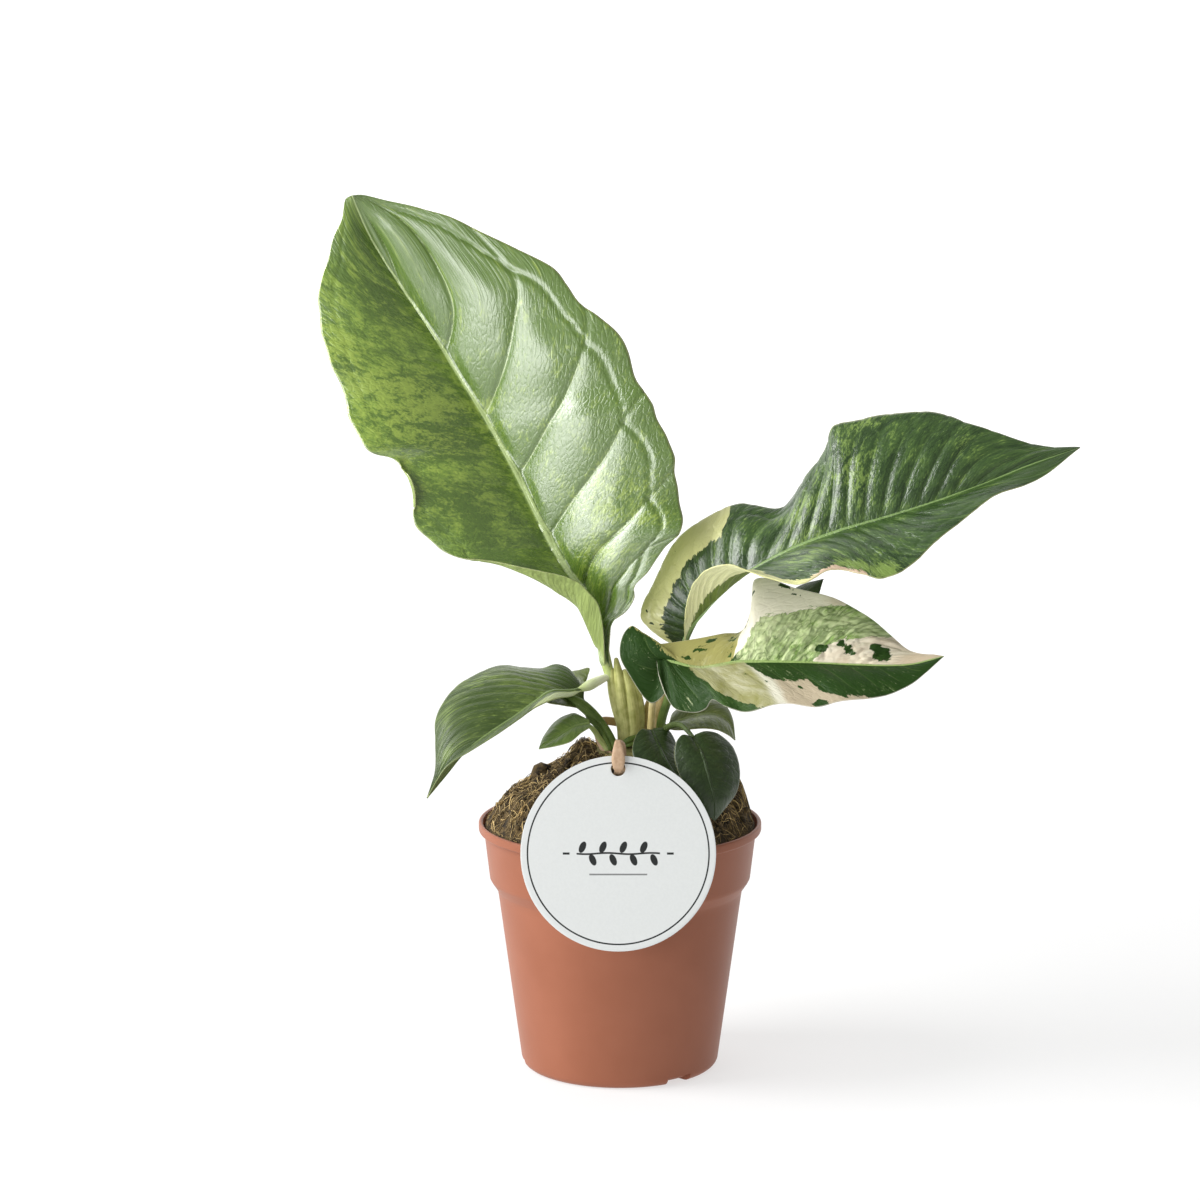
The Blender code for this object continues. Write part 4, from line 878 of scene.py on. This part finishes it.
def make_stalks():
    """Shoots, leaf scale and petioles as tubes along routes of (x, y, z, radius) in mm, each
    starting in the potting mix or in the shoot that carries it, and the crown's skin."""
    pale = stalk_finish("pale_sheath_skin", (0.30, 0.31, 0.08), (0.54, 0.54, 0.21))
    ochre = stalk_finish("ochre_sheath_skin", (0.42, 0.32, 0.11), (0.66, 0.52, 0.26))
    green = stalk_finish("green_stalk_skin", (0.070, 0.12, 0.022), (0.14, 0.21, 0.045))
    dark = stalk_finish("dark_stalk_skin", (0.030, 0.055, 0.012), (0.07, 0.10, 0.025))
    light = stalk_finish("light_stalk_skin", (0.33, 0.42, 0.12), (0.50, 0.56, 0.24),
                         (0.40, 0.50, 0.17))
    cream = stalk_finish("cream_stalk_skin", (0.72, 0.75, 0.54), (0.82, 0.84, 0.66),
                         (0.50, 0.58, 0.26))
    tan = stalk_finish("tan_stalk_skin", (0.40, 0.32, 0.11), (0.55, 0.46, 0.20),
                       (0.70, 0.68, 0.46))

    def stalk(node, routes, material, **shape):
        name = node.replace("petiole", "stem") + ("_skin" if "petiole" not in node else "")
        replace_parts(add_tubes(name, routes, material, **shape), node)

    foot = 139.3
    stalk("main_shoot", [
        [(1.5, -1.8, foot, 2.4), (1.2, -2.2, 148, 2.7), (-1.2, -2.4, 157, 2.7),
         (-2.9, -2.4, 165, 2.4), (-3.8, -2.0, 173, 1.4)],
        [(3, -3.4, foot, 2.6), (2.7, -3.9, 149, 3.0), (0.9, -4.0, 160, 2.9),
         (-0.5, -3.3, 169, 2.2), (-1.8, -2.5, 177.4, 0.8)],
        [(5, -3.2, foot, 2.8), (5.6, -3.8, 149, 3.3), (4.8, -3.9, 158, 3.2),
         (3.4, -3.2, 166, 2.6), (1.6, -2.6, 172.4, 1.3)],
        [(6.4, -1.6, foot, 2.6), (7.4, -2.0, 149, 2.9), (7.3, -2.2, 157, 2.8),
         (6.2, -2.0, 163, 2.2), (4.8, -2.0, 168, 1.2)],
        [(3, 1.5, foot, 3.6), (3, 1.5, 150, 3.9), (1.2, 1.0, 160, 3.4),
         (0.2, 0.5, 168, 1.4)]], pale, sides=36, rings=56, ridges=4, ridge_depth=0.03)
    stalk("side_shoot", [
        [(9.6, 2.5, foot, 2.6), (10.9, 2.2, 148, 2.9), (12.8, 1.8, 156, 2.3),
         (14.6, 1.2, 164, 0.8)],
        [(13.6, 3.2, foot, 3.3), (15.2, 3.2, 149, 3.8), (16.8, 2.8, 157, 3.2),
         (18.0, 2.2, 165, 1.3)]], ochre, sides=36, ridges=4, ridge_depth=0.03)
    stalk("leaf_scale", [
        [(1.2, -8.3, 140.3, 0.6), (3.8, -8.9, 141.2, 0.9), (6.2, -8.2, 142.0, 0.8),
         (7.6, -6.8, 143.2, 0.4)],
        [(0.4, -8.0, 141.2, 0.4), (3.0, -8.6, 142.9, 1.2), (6.0, -8.0, 144.2, 1.0),
         (8.2, -6.6, 144.6, 0.3)]], green, upright=(0.0, 0.0, 1.0))
    stalk("large_leaf_petiole", [
        [(-0.8, -1.6, 160, 1.8), (-2.9, -2.0, 166.0, 2.1), (-4.8, -1.6, 171.5, 2.2),
         (-6.0, -0.8, 176.0, 2.3), (-7.4, 1.2, 184.0, 2.0), (-10.2, 4.6, 195.0, 1.5),
         (-16.0, 8.4, 205.0, 0.9), (-24.0, 12.0, 215.0, 0.4)]],
          light, rings=70, ridges=5, ridge_depth=0.03)
    stalk("left_petiole", [
        [(1.6, 2.2, 169.8, 0.8), (-2.6, -0.8, 169.6, 1.1), (-5.8, -3.0, 169.0, 1.5),
         (-9.4, -5.8, 168.0, 2.0), (-13.4, -8.8, 166.6, 2.2), (-17.6, -11.2, 165.4, 1.0),
         (-23.0, -15.4, 165.4, 0.4)]], cream, upright=(0.0, 0.0, 1.0))
    stalk("upper_right_petiole", [
        [(17, -2, foot, 2.0), (17.4, -3, 150, 1.9), (21, -3, 162, 1.8),
         (25.9, 0.7, 179.3, 1.6), (28.4, 0.2, 186.0, 1.2), (33.0, -3.6, 195.0, 0.5)]], green)
    stalk("lower_right_petiole", [
        [(12.6, -8.6, foot, 1.7), (13, -9, 152, 1.5), (14.2, -10.4, 168, 1.4),
         (15.6, -14.7, 179.5, 1.2)]], tan)
    stalk("under_left_petiole", [
        [(-1.4, -11.4, foot, 1.5), (-4.6, -10.8, 146, 1.6), (-8.4, -9.6, 151.4, 1.8),
         (-12.2, -8.6, 154.8, 2.4), (-16.2, -8.0, 158.2, 2.4), (-20.6, -6.8, 160.6, 1.9),
         (-26.0, -3.6, 162.4, 0.8)],
        [(-3.8, -12.0, foot, 1.2), (-7.0, -11.4, 146, 1.2), (-10.4, -10.4, 150.6, 1.3),
         (-12.8, -9.8, 152.8, 1.3), (-14.4, -9.0, 155.0, 0.8)]], green)
    stalk("small_left_petiole", [
        [(-5.0, -11.6, foot, 1.2), (-8.6, -12.6, 144.6, 1.2), (-12.0, -14.6, 149.8, 1.0),
         (-15.0, -17.2, 151.8, 0.5)]], light)
    stalk("front_petiole", [
        [(11.4, -13, foot, 1.3), (11.8, -13, 144, 1.2), (12.8, -14.6, 148.4, 1.1)]], dark)
    stalk("hanging_petiole", [
        [(16.4, -8, foot, 1.5), (19, -14, 149, 1.4), (25, -23, 153, 1.3),
         (30.4, -32.4, 149.6, 0.8)]], dark, upright=(1.0, 0.0, 0.0))
    stalk("side_petiole", [
        [(14.6, 9.6, foot, 1.3), (17, 8.4, 144.4, 1.2), (19.8, 6.6, 146.2, 1.0)]], dark)
    stalk("rear_petiole", [
        [(8, 11.4, foot, 1.4), (13, 13, 152, 1.3), (24, 18, 160.6, 1.3),
         (38.4, 24.2, 163.2, 1.0)]], dark, upright=(0.0, 0.0, 1.0))
    crown_finish = stalk_finish("crown_skin", (0.16, 0.13, 0.05), (0.34, 0.32, 0.12),
                                roughness=0.6)
    crown_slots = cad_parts["crown"].data.materials
    crown_slots.clear()
    crown_slots.append(crown_finish)


# ---------------------------------------------------------------- potting mix

MIX_RADIUS = 57.3

def mix_height(x, y):
    """The mound's height: a slope from the lip to the crown, two banks, and lumps."""
    radius = np.hypot(x, y)
    slope = np.interp(radius, [0, 13, 20, 28, 37, 45, 52, 57.2],
                      [137, 136.5, 133.5, 129.0, 123.5, 118.5, 112.0, 104.8])
    bank = 10.0 * np.exp(-((x - 50.0) / 9.0) ** 2 - ((y - 9.0) / 15.0) ** 2) \
        + 4.5 * np.exp(-((x + 16.0) / 6.0) ** 2 - ((y - 3.0) / 9.0) ** 2)
    lumps = 0.8 * np.sin(0.31 * x + 0.6) * np.sin(0.27 * y + 1.1) \
        + 0.5 * np.sin(0.55 * x - 0.38 * y)
    inside = np.clip((57.2 - radius) / 6.0, 0.0, 1.0)
    return slope + (bank + lumps) * inside


def crumbly(x, y):
    """The mound with crumbs on it: three sizes of lattice noise, sharpened to round tops."""
    rough = 1.8 * np.abs(lattice_noise(x, y, 4.5, 1) - 0.5) \
        + 1.4 * np.abs(lattice_noise(x, y, 2.0, 2) - 0.5) \
        + 1.1 * lattice_noise(x, y, 1.0, 3)
    inside = np.clip((57.0 - np.hypot(x, y)) / 3.0, 0.0, 1.0)
    return mix_height(x, y) + (rough - 1.2) * inside


def peat_finish():
    """Dark crumbs with brown clouds and light grains."""
    f = Finish("peat_and_coir")
    place = f.place()
    crumbs = f.cells(place, 420.0)
    cloud = f.noise(place, 220.0, 4.0, 0.65)
    fine = f.noise(place, 900.0, 3.0, 0.6)
    ground = f.mix(cloud.rise(0.40, 0.60), (0.022, 0.015, 0.006), (0.11, 0.072, 0.026))
    ground = f.mix(fine.rise(0.55, 0.68) * 0.7, ground, (0.27, 0.18, 0.07))
    return f.surface(Base_Color=ground, Roughness=0.95,
                     Normal=f.bump(crumbs * 0.5 + fine * 0.5, 0.8))


def make_mound(peat):
    """The mound as rings of crumbly height, closed below by a flat floor inside the pot."""
    rings, sides = 150, 300
    radius = MIX_RADIUS * np.linspace(1.0, 0.0, rings)
    angle = np.linspace(0.0, 2 * pi, sides, endpoint=False)
    x = radius[:, None] * np.cos(angle)
    y = radius[:, None] * np.sin(angle)
    top = np.stack([x, y, crumbly(x, y)], axis=-1)
    floor = np.full((1, sides), 98.0)
    below = [np.stack([x[:1] * shrink, y[:1] * shrink, floor], axis=-1) for shrink in (0.0, 0.97)]
    points = np.concatenate([*below, top])
    mix = add_piece("potting_mix_top", points, grid_faces(rings + 2, sides, round_columns=True),
                    [peat])
    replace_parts(mix, "potting_mix")


def make_fibres():
    """Coir fibres: three-sided tubes that lie on the mound, each along an arc of constant
    turn with one low hump, thickest in the middle, and pulled inwards at the pot's wall."""
    f = Finish("coir_fibres")
    tone = f.field("tone")
    ground = f.mix(tone * tone, (0.045, 0.026, 0.008), (0.78, 0.56, 0.24))
    straw = f.surface(Base_Color=ground, Roughness=0.8,
                      Normal=f.bump(f.noise(f.place(), 1500.0), 0.1))
    random = np.random.default_rng(11)
    count, steps = 3400, 7
    start_radius = 56.0 * np.sqrt(random.random(count))
    start_angle = 2 * pi * random.random(count)
    heading = 2 * pi * random.random(count)
    turn = random.normal(0.0, 0.9, count)
    length = random.uniform(2.5, 13.0, count)
    share = np.linspace(0.0, 1.0, steps)
    bearing = heading[:, None] + turn[:, None] * share
    step = (length / (steps - 1))[:, None]
    x = start_radius[:, None] * np.cos(start_angle)[:, None] \
        + np.cumsum(np.cos(bearing), axis=1) * step
    y = start_radius[:, None] * np.sin(start_angle)[:, None] \
        + np.cumsum(np.sin(bearing), axis=1) * step
    far = np.hypot(x, y)
    pull = np.minimum(1.0, 56.5 / np.maximum(far, 1e-6))
    x, y = x * pull, y * pull
    hump = random.uniform(0.1, 1.8, count)[:, None] * 4 * share * (1 - share)
    z = crumbly(x, y) + 0.15 + hump
    path = np.stack([x, y, z], axis=-1)
    along = unit(np.gradient(path, axis=1))
    across = unit(np.cross(along, np.array([0.0, 0.0, 1.0])))
    over = np.cross(along, across)
    thick = random.uniform(0.08, 0.24, count)[:, None] * (0.35 + 2.6 * share * (1 - share))
    corner = np.array([0.0, 2 * pi / 3, 4 * pi / 3])
    ring = path[:, :, None] + thick[..., None, None] * (
        np.cos(corner)[:, None] * across[:, :, None] + np.sin(corner)[:, None] * over[:, :, None])
    faces = repeat_faces(grid_faces(steps, 3, round_columns=True), count, steps * 3)
    tone = np.broadcast_to(random.random(count)[:, None, None], (count, steps, 3))
    add_piece("potting_mix_fibres", ring, faces, [straw], None, {"tone": tone},
                      weld=0.0001)


def make_crumbs(peat):
    """Crumbs: twenty-faced balls with uneven points, squashed and scattered evenly over the
    mound. The first is a large clod at its left."""
    random = np.random.default_rng(5)
    count = 420
    bm = bmesh.new()
    bmesh.ops.create_icosphere(bm, subdivisions=1, radius=1.0)
    ball = np.array([vertex.co for vertex in bm.verts])
    ball_faces = np.array([[vertex.index for vertex in face.verts] for face in bm.faces])
    bm.free()
    size = random.uniform(0.45, 1.5, count) ** 1.4
    away = 54.5 * np.sqrt(random.random(count))
    angle = 2 * pi * random.random(count)
    x, y = away * np.cos(angle), away * np.sin(angle)
    centre = np.stack([x, y, crumbly(x, y) + 0.25 * size], axis=-1)
    bumps = 1.0 + 0.28 * random.standard_normal((count, len(ball), 1))
    squash = random.uniform(0.6, 1.2, (count, 1, 3))
    points = centre[:, None] + ball[None] * bumps * squash * size[:, None, None]
    clod = np.array([-33.5, 2.0, mix_height(-33.5, 2.0) + 2.0])
    points[0] = clod + ball * (1.0 + 0.15 * random.standard_normal((len(ball), 1))) \
        * np.array([4.2, 4.0, 3.6])
    faces = repeat_faces(ball_faces, count, len(ball))
    add_piece("potting_mix_crumbs", points, faces, [peat], weld=0.0001, sharp=80.0)


def make_potting_mix():
    peat = peat_finish()
    make_mound(peat)
    make_fibres()
    make_crumbs(peat)


# ---------------------------------------------------------------- pot, card and band

def make_pot():
    """The pot's wall turned about its axis, its foot raised over three drain notches.

    The profile runs up the outside, over the lip and down the inside, so that the faces look
    outwards. Over a notch's width the foot's lowest rows stand at the notch's height.
    """
    f = Finish("terracotta_plastic")
    place = f.place()
    cloud = f.noise(place, 25.0, 3.0)
    grain = f.noise(place, 2600.0, 2.0)
    ground = f.mix(cloud.rise(0.3, 0.7), (0.280, 0.096, 0.050), (0.310, 0.110, 0.060))
    skin = f.surface(Base_Color=ground, Roughness=0.38 + 0.10 * cloud,
                     Normal=f.bump(grain, 0.02), Specular_IOR_Level=0.25)

    notch_height, notch_starts = 3.5, 32.0
    half_notch = 5.5 / 38.0
    wall_slope, foot_bend, lip_bend = 0.135, 4, 0.9
    arc = np.linspace(0.0, pi / 2, 7)
    foot = [(41.6 + wall_slope * foot_bend - foot_bend + foot_bend * cos(a),
             foot_bend - foot_bend * sin(a)) for a in arc[::-1]]
    lip = [(59.1 + lip_bend * sin(a), 103.4 - lip_bend * cos(a)) for a in arc] \
        + [(59.1 + lip_bend * cos(a), 105.6 + lip_bend * sin(a)) for a in arc]
    profile = [(0.0, 0.0), (notch_starts, 0.0), (notch_starts, 0.0)] + foot \
        + [(45.0, 25.2), (48.6, 52.0), (51.6, 74.2), (52.0, 76.6), (52.4, 77.6), (54.8, 81.2),
           (55.35, 82.2), (55.5, 83.4), (57.6, 101.2), (57.9, 102.3)] + lip \
        + [(58.9, 106.5), (58.3, 106.1), (58.1, 105.2), (57.5, 104.0), (56.3, 100.5),
           (54.1, 83.0), (50.7, 77.6), (41.0, 4.0), (38.5, 1.5), (0.0, 1.5)]
    profile = np.array(profile)
    notches = np.radians([-53.0, 67.0, 187.0])
    edges = np.concatenate([notches - half_notch, notches + half_notch])
    fine = np.linspace(0.0, 2 * pi, 180, endpoint=False)
    hair = 1e-5
    angle = np.unique(np.concatenate([fine, (edges + hair) % (2 * pi),
                                      (edges - hair) % (2 * pi)]))
    off = (angle - notches[:, None] + pi) % (2 * pi) - pi
    in_notch = (np.abs(off) < half_notch).any(axis=0)
    radius = np.broadcast_to(profile[:, 0:1], (len(profile), len(angle)))
    height = np.broadcast_to(profile[:, 1:2], radius.shape).copy()
    rows = np.arange(len(profile))[:, None]
    raised = in_notch[None] & (rows >= 2) & (rows < 3 + len(foot)) & (height < notch_height)
    height[raised] = notch_height
    points = np.stack([radius * np.cos(angle), radius * np.sin(angle), height], axis=-1)
    pot = add_piece("pot_wall", points, grid_faces(len(profile), len(angle), round_columns=True),
                    [skin], weld=0.0005, sharp=35.0)
    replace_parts(pot, "pot")


CARD_CENTRE = (-1.0, -59.769, 107.0)
CARD_LEAN = radians(12.0)
CARD_RADIUS = 40.2


def card_place(across, up, forward):
    """Card coordinates to the frame: the card leans back by CARD_LEAN about the X axis."""
    return np.stack([CARD_CENTRE[0] + across,
                     CARD_CENTRE[1] + up * sin(CARD_LEAN) - forward * cos(CARD_LEAN),
                     CARD_CENTRE[2] + up * cos(CARD_LEAN) + forward * sin(CARD_LEAN)], axis=-1)


def make_tag_card():
    """A disc with an off-centre hole: rings eased from the hole's circle to the rim's.

    The print, in mm across and up the card: a thin ring, a wavy stem with slanted oval leaflets
    that alternate above and below it, a dash at each end and a line under it.
    """
    f = Finish("tag_card_print")
    place = f.place()
    x, y, _ = f.split(f.vector_field("plane"))
    radius = (x * x + y * y) ** 0.5
    ring = abs(radius - (CARD_RADIUS - 2.9)).fall(0.26, 0.38)
    stem = (abs(y + 0.25 * (x * 0.35).wave()).fall(0.30, 0.45)) * abs(x).fall(17.0, 17.3)
    leaflet_pitch = 4.2
    cell = x / leaflet_pitch
    offset = (cell.part() - 0.5) * leaflet_pitch
    number = cell.maths("FLOOR", cell)
    side = number.maths("MODULO", number + 100.0, 2.0)
    sign = 1.0 - 2.0 * side
    leaf_y = (y * sign - 2.6) / 2.4
    leaf_x = (offset - leaf_y * 0.7) / 1.45
    leaf = (leaf_x * leaf_x + leaf_y * leaf_y).fall(0.85, 1.05) * abs(x).fall(16.7, 16.8)
    dash = abs(y).fall(0.40, 0.52) * abs(abs(x) - 21.4).fall(1.3, 1.5)
    line = abs(y + 8.6).fall(0.26, 0.40) * abs(x).fall(11.8, 12.0)
    ink = ring.most(stem).most(leaf).most(dash).most(line * 0.7)
    paper = f.mix(f.noise(place, 900.0).rise(0.3, 0.7), (0.66, 0.68, 0.67),
                  (0.68, 0.70, 0.69))
    ground = f.mix(ink, paper, (0.016, 0.018, 0.018))
    card = f.surface(Base_Color=ground, Roughness=0.5 + 0.1 * f.noise(place, 300.0),
                     Specular_IOR_Level=0.3)
    angle = np.linspace(0.0, 2 * pi, 180, endpoint=False)
    share = np.concatenate([[0.0], np.linspace(0.02, 0.98, 26), [1.0]])[:, None]
    hole_radius, hole_height = 3.0, 34.8
    reach = (1 - share) * hole_radius + share * CARD_RADIUS
    across = reach * np.cos(angle)
    up = (1 - share) * hole_height + reach * np.sin(angle)
    points = card_place(across, up, np.zeros_like(across))
    plane_field = np.stack([across, up, np.zeros_like(up)], axis=-1)
    piece = add_piece("tag_card_disc", points, grid_faces(*across.shape, round_columns=True),
                      [card], None, {"plane": plane_field})
    thicken(piece, 0.8)
    bevel = piece.modifiers.new("edge", "BEVEL")
    bevel.width = 0.12 * MM
    bevel.segments = 2
    bevel.limit_method = "ANGLE"
    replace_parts(piece, "tag_card")


def make_tag_band():
    """A flat strap carried round a closed route.

    Each row is its centre, the direction of its width and half that width. Its section is a
    rounded oblong with a shallow crease along the middle of both faces.
    """
    f = Finish("tan_band_skin")
    place = f.place()
    grain = f.noise(place, 700.0, 4.0, 0.6)
    ground = f.mix(grain.rise(0.3, 0.7), (0.42, 0.27, 0.16), (0.52, 0.36, 0.23))
    skin = f.surface(Base_Color=ground, Roughness=0.6, Normal=f.bump(grain, 0.1))

    def on_card(up, forward):
        return card_place(0.0, up, forward).tolist()

    route = [(*on_card(34.6, 0.0), 1, 0, 0, 1.7), (*on_card(35.4, 1.5), 1, 0, 0, 2.2),
             (*on_card(38.4, 2.2), 1, 0, 0, 2.8), (*on_card(42.4, 2.0), 1, 0, 0, 2.3),
             (*on_card(46.0, -1.0), 1, 0, 0, 1.3), (0.4, -46, 149.8, 1, 0, 0, 1.5),
             (0.8, -38, 143.6, 1, 0, 0, 1.6), (0.8, -28, 138.0, 1, 0, 0, 1.7),
             (-2.0, -16, 136.6, 0.5, 0, 1, 1.7), (-7.6, -8, 140.0, 0, 0, 1, 1.8),
             (-10.4, -1, 146.0, 0, 0, 1, 1.8), (-8.0, 5, 148.2, 0, 0, 1, 1.8),
             (-2.0, 9.4, 147.0, 0, 0, 1, 1.8), (5.0, 10.0, 145.0, 0, 0, 1, 1.8),
             (11.4, 5.0, 142.6, 0, 0, 1, 1.8), (12.6, -2.0, 139.6, 0, 0, 1, 1.8),
             (10.4, -10.0, 137.4, 0, 0, 1, 1.7), (4.6, -19.0, 135.6, 0.6, 0, 1, 1.7),
             (1.6, -30.0, 135.4, 1, 0, 0, 1.7), (0.4, -42.0, 137.0, 1, 0, 0, 1.7),
             (*on_card(33.2, -2.6), 1, 0, 0, 1.6), (*on_card(33.8, -1.2), 1, 0, 0, 1.6),
             (*on_card(34.6, 0.0), 1, 0, 0, 1.7)]
    rings, sides = 300, 24
    here = curve_through(evenly(route), np.linspace(0.0, 1.0, rings + 1)[:-1])
    path, width, half = here[:, :3], unit(here[:, 3:6]), here[:, 6]
    along = unit(np.roll(path, -1, axis=0) - np.roll(path, 1, axis=0))
    width = unit(width - along * (width * along).sum(axis=1)[:, None])
    depth = np.cross(along, width)
    angle = np.linspace(0.0, 2 * pi, sides, endpoint=False)
    crease = 0.16 * np.exp(-(np.cos(angle) / 0.16) ** 2) * np.sign(np.sin(angle))
    flat = np.sign(np.cos(angle)) * np.abs(np.cos(angle)) ** 0.8
    high = np.sign(np.sin(angle)) * np.abs(np.sin(angle)) ** 0.8 * 0.75 - crease
    points = path[:, None] + (half[:, None] * flat)[..., None] * width[:, None] \
        + high[None, :, None] * depth[:, None]
    piece = add_piece("tag_band_strap", points,
                      grid_faces(rings, sides, round_rows=True, round_columns=True), [skin],
                      weld=0.001, sharp=50.0)
    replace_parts(piece, "tag_band")


# ---------------------------------------------------------------- studio

def make_studio():
    """A pale floor that bends up behind into a wall, and glows more towards the back."""
    f = Finish("studio_floor")
    _, depth, _ = f.split(f.place())
    glow = f.mix(depth.rise(0.15, 1.9), (0.63, 0.63, 0.63), (1.0, 1.0, 1.0))
    f.surface(Base_Color=(0.38, 0.38, 0.38), Roughness=0.9, Specular_IOR_Level=0.0,
              Emission_Color=glow, Emission_Strength=1.0)
    bend_starts, bend_radius = 1400.0, 900.0
    bend = np.linspace(0.1, pi / 2, 10)
    along = np.concatenate([np.linspace(-2500.0, bend_starts, 12),
                            bend_starts + bend_radius * np.sin(bend),
                            np.full(2, bend_starts + bend_radius)])
    high = np.concatenate([np.zeros(12), bend_radius * (1 - np.cos(bend)), [2000.0, 4000.0]])
    side = np.array([-4000.0, 4000.0])
    y, x = np.meshgrid(along, side, indexing="ij")
    z = np.broadcast_to(high[:, None], y.shape)
    mesh = bpy.data.meshes.new("studio_sweep")
    mesh.from_pydata(np.stack([x, y, z], axis=-1).reshape(-1, 3) * MM, [],
                     grid_faces(len(along), 2).tolist())
    mesh.materials.append(f.material)
    mesh.shade_smooth()
    put_in_scene("studio_sweep", mesh)


def add_light(name, place, aim, size, power):
    """A soft rectangular light: its place and aim in metres, its two sides, its watts."""
    data = bpy.data.lights.new(name, "AREA")
    data.shape = "RECTANGLE"
    data.size, data.size_y = size
    data.energy = power
    light = put_in_scene(name, data)
    light.location = place
    light.rotation_euler = (Vector(aim) - Vector(place)).to_track_quat("-Z", "Y").to_euler()


def make_lights():
    """Three soft lights from the left, and a white sky."""
    add_light("key", (-1.80, -0.30, 1.46), (0.0, 0.0, 0.2), (1.3, 1.3), 52.0)
    add_light("front_left", (-0.95, -2.05, 1.10), (0.0, 0.0, 0.15), (2.2, 1.6), 3.0)
    add_light("low_left", (-1.97, -1.42, 0.52), (-0.05, 0.02, 0.29), (2.3, 0.95), 36.0)
    world = bpy.data.worlds.new("studio_air")
    world.use_nodes = True
    background = world.node_tree.nodes["Background"]
    background.inputs["Color"].default_value = (1.0, 1.0, 1.0, 1.0)
    background.inputs["Strength"].default_value = 0.30
    bpy.context.scene.world = world
    bpy.context.scene.view_settings.view_transform = "Standard"


def make_camera():
    data = bpy.data.cameras.new("camera")
    data.sensor_width = 36.0
    data.lens = 126.9
    camera = put_in_scene("camera", data)
    camera.location = (-0.0085, -1.747, 0.538)
    camera.rotation_euler = (radians(79.1), 0.0, 0.0)
    bpy.context.scene.camera = camera


make_camera()
make_lights()
make_studio()
make_large_leaf()
make_upper_right_leaf()
make_lower_right_leaf()
make_left_leaf()
make_small_leaves()
make_stalks()
make_potting_mix()
make_pot()
make_tag_card()
make_tag_band()
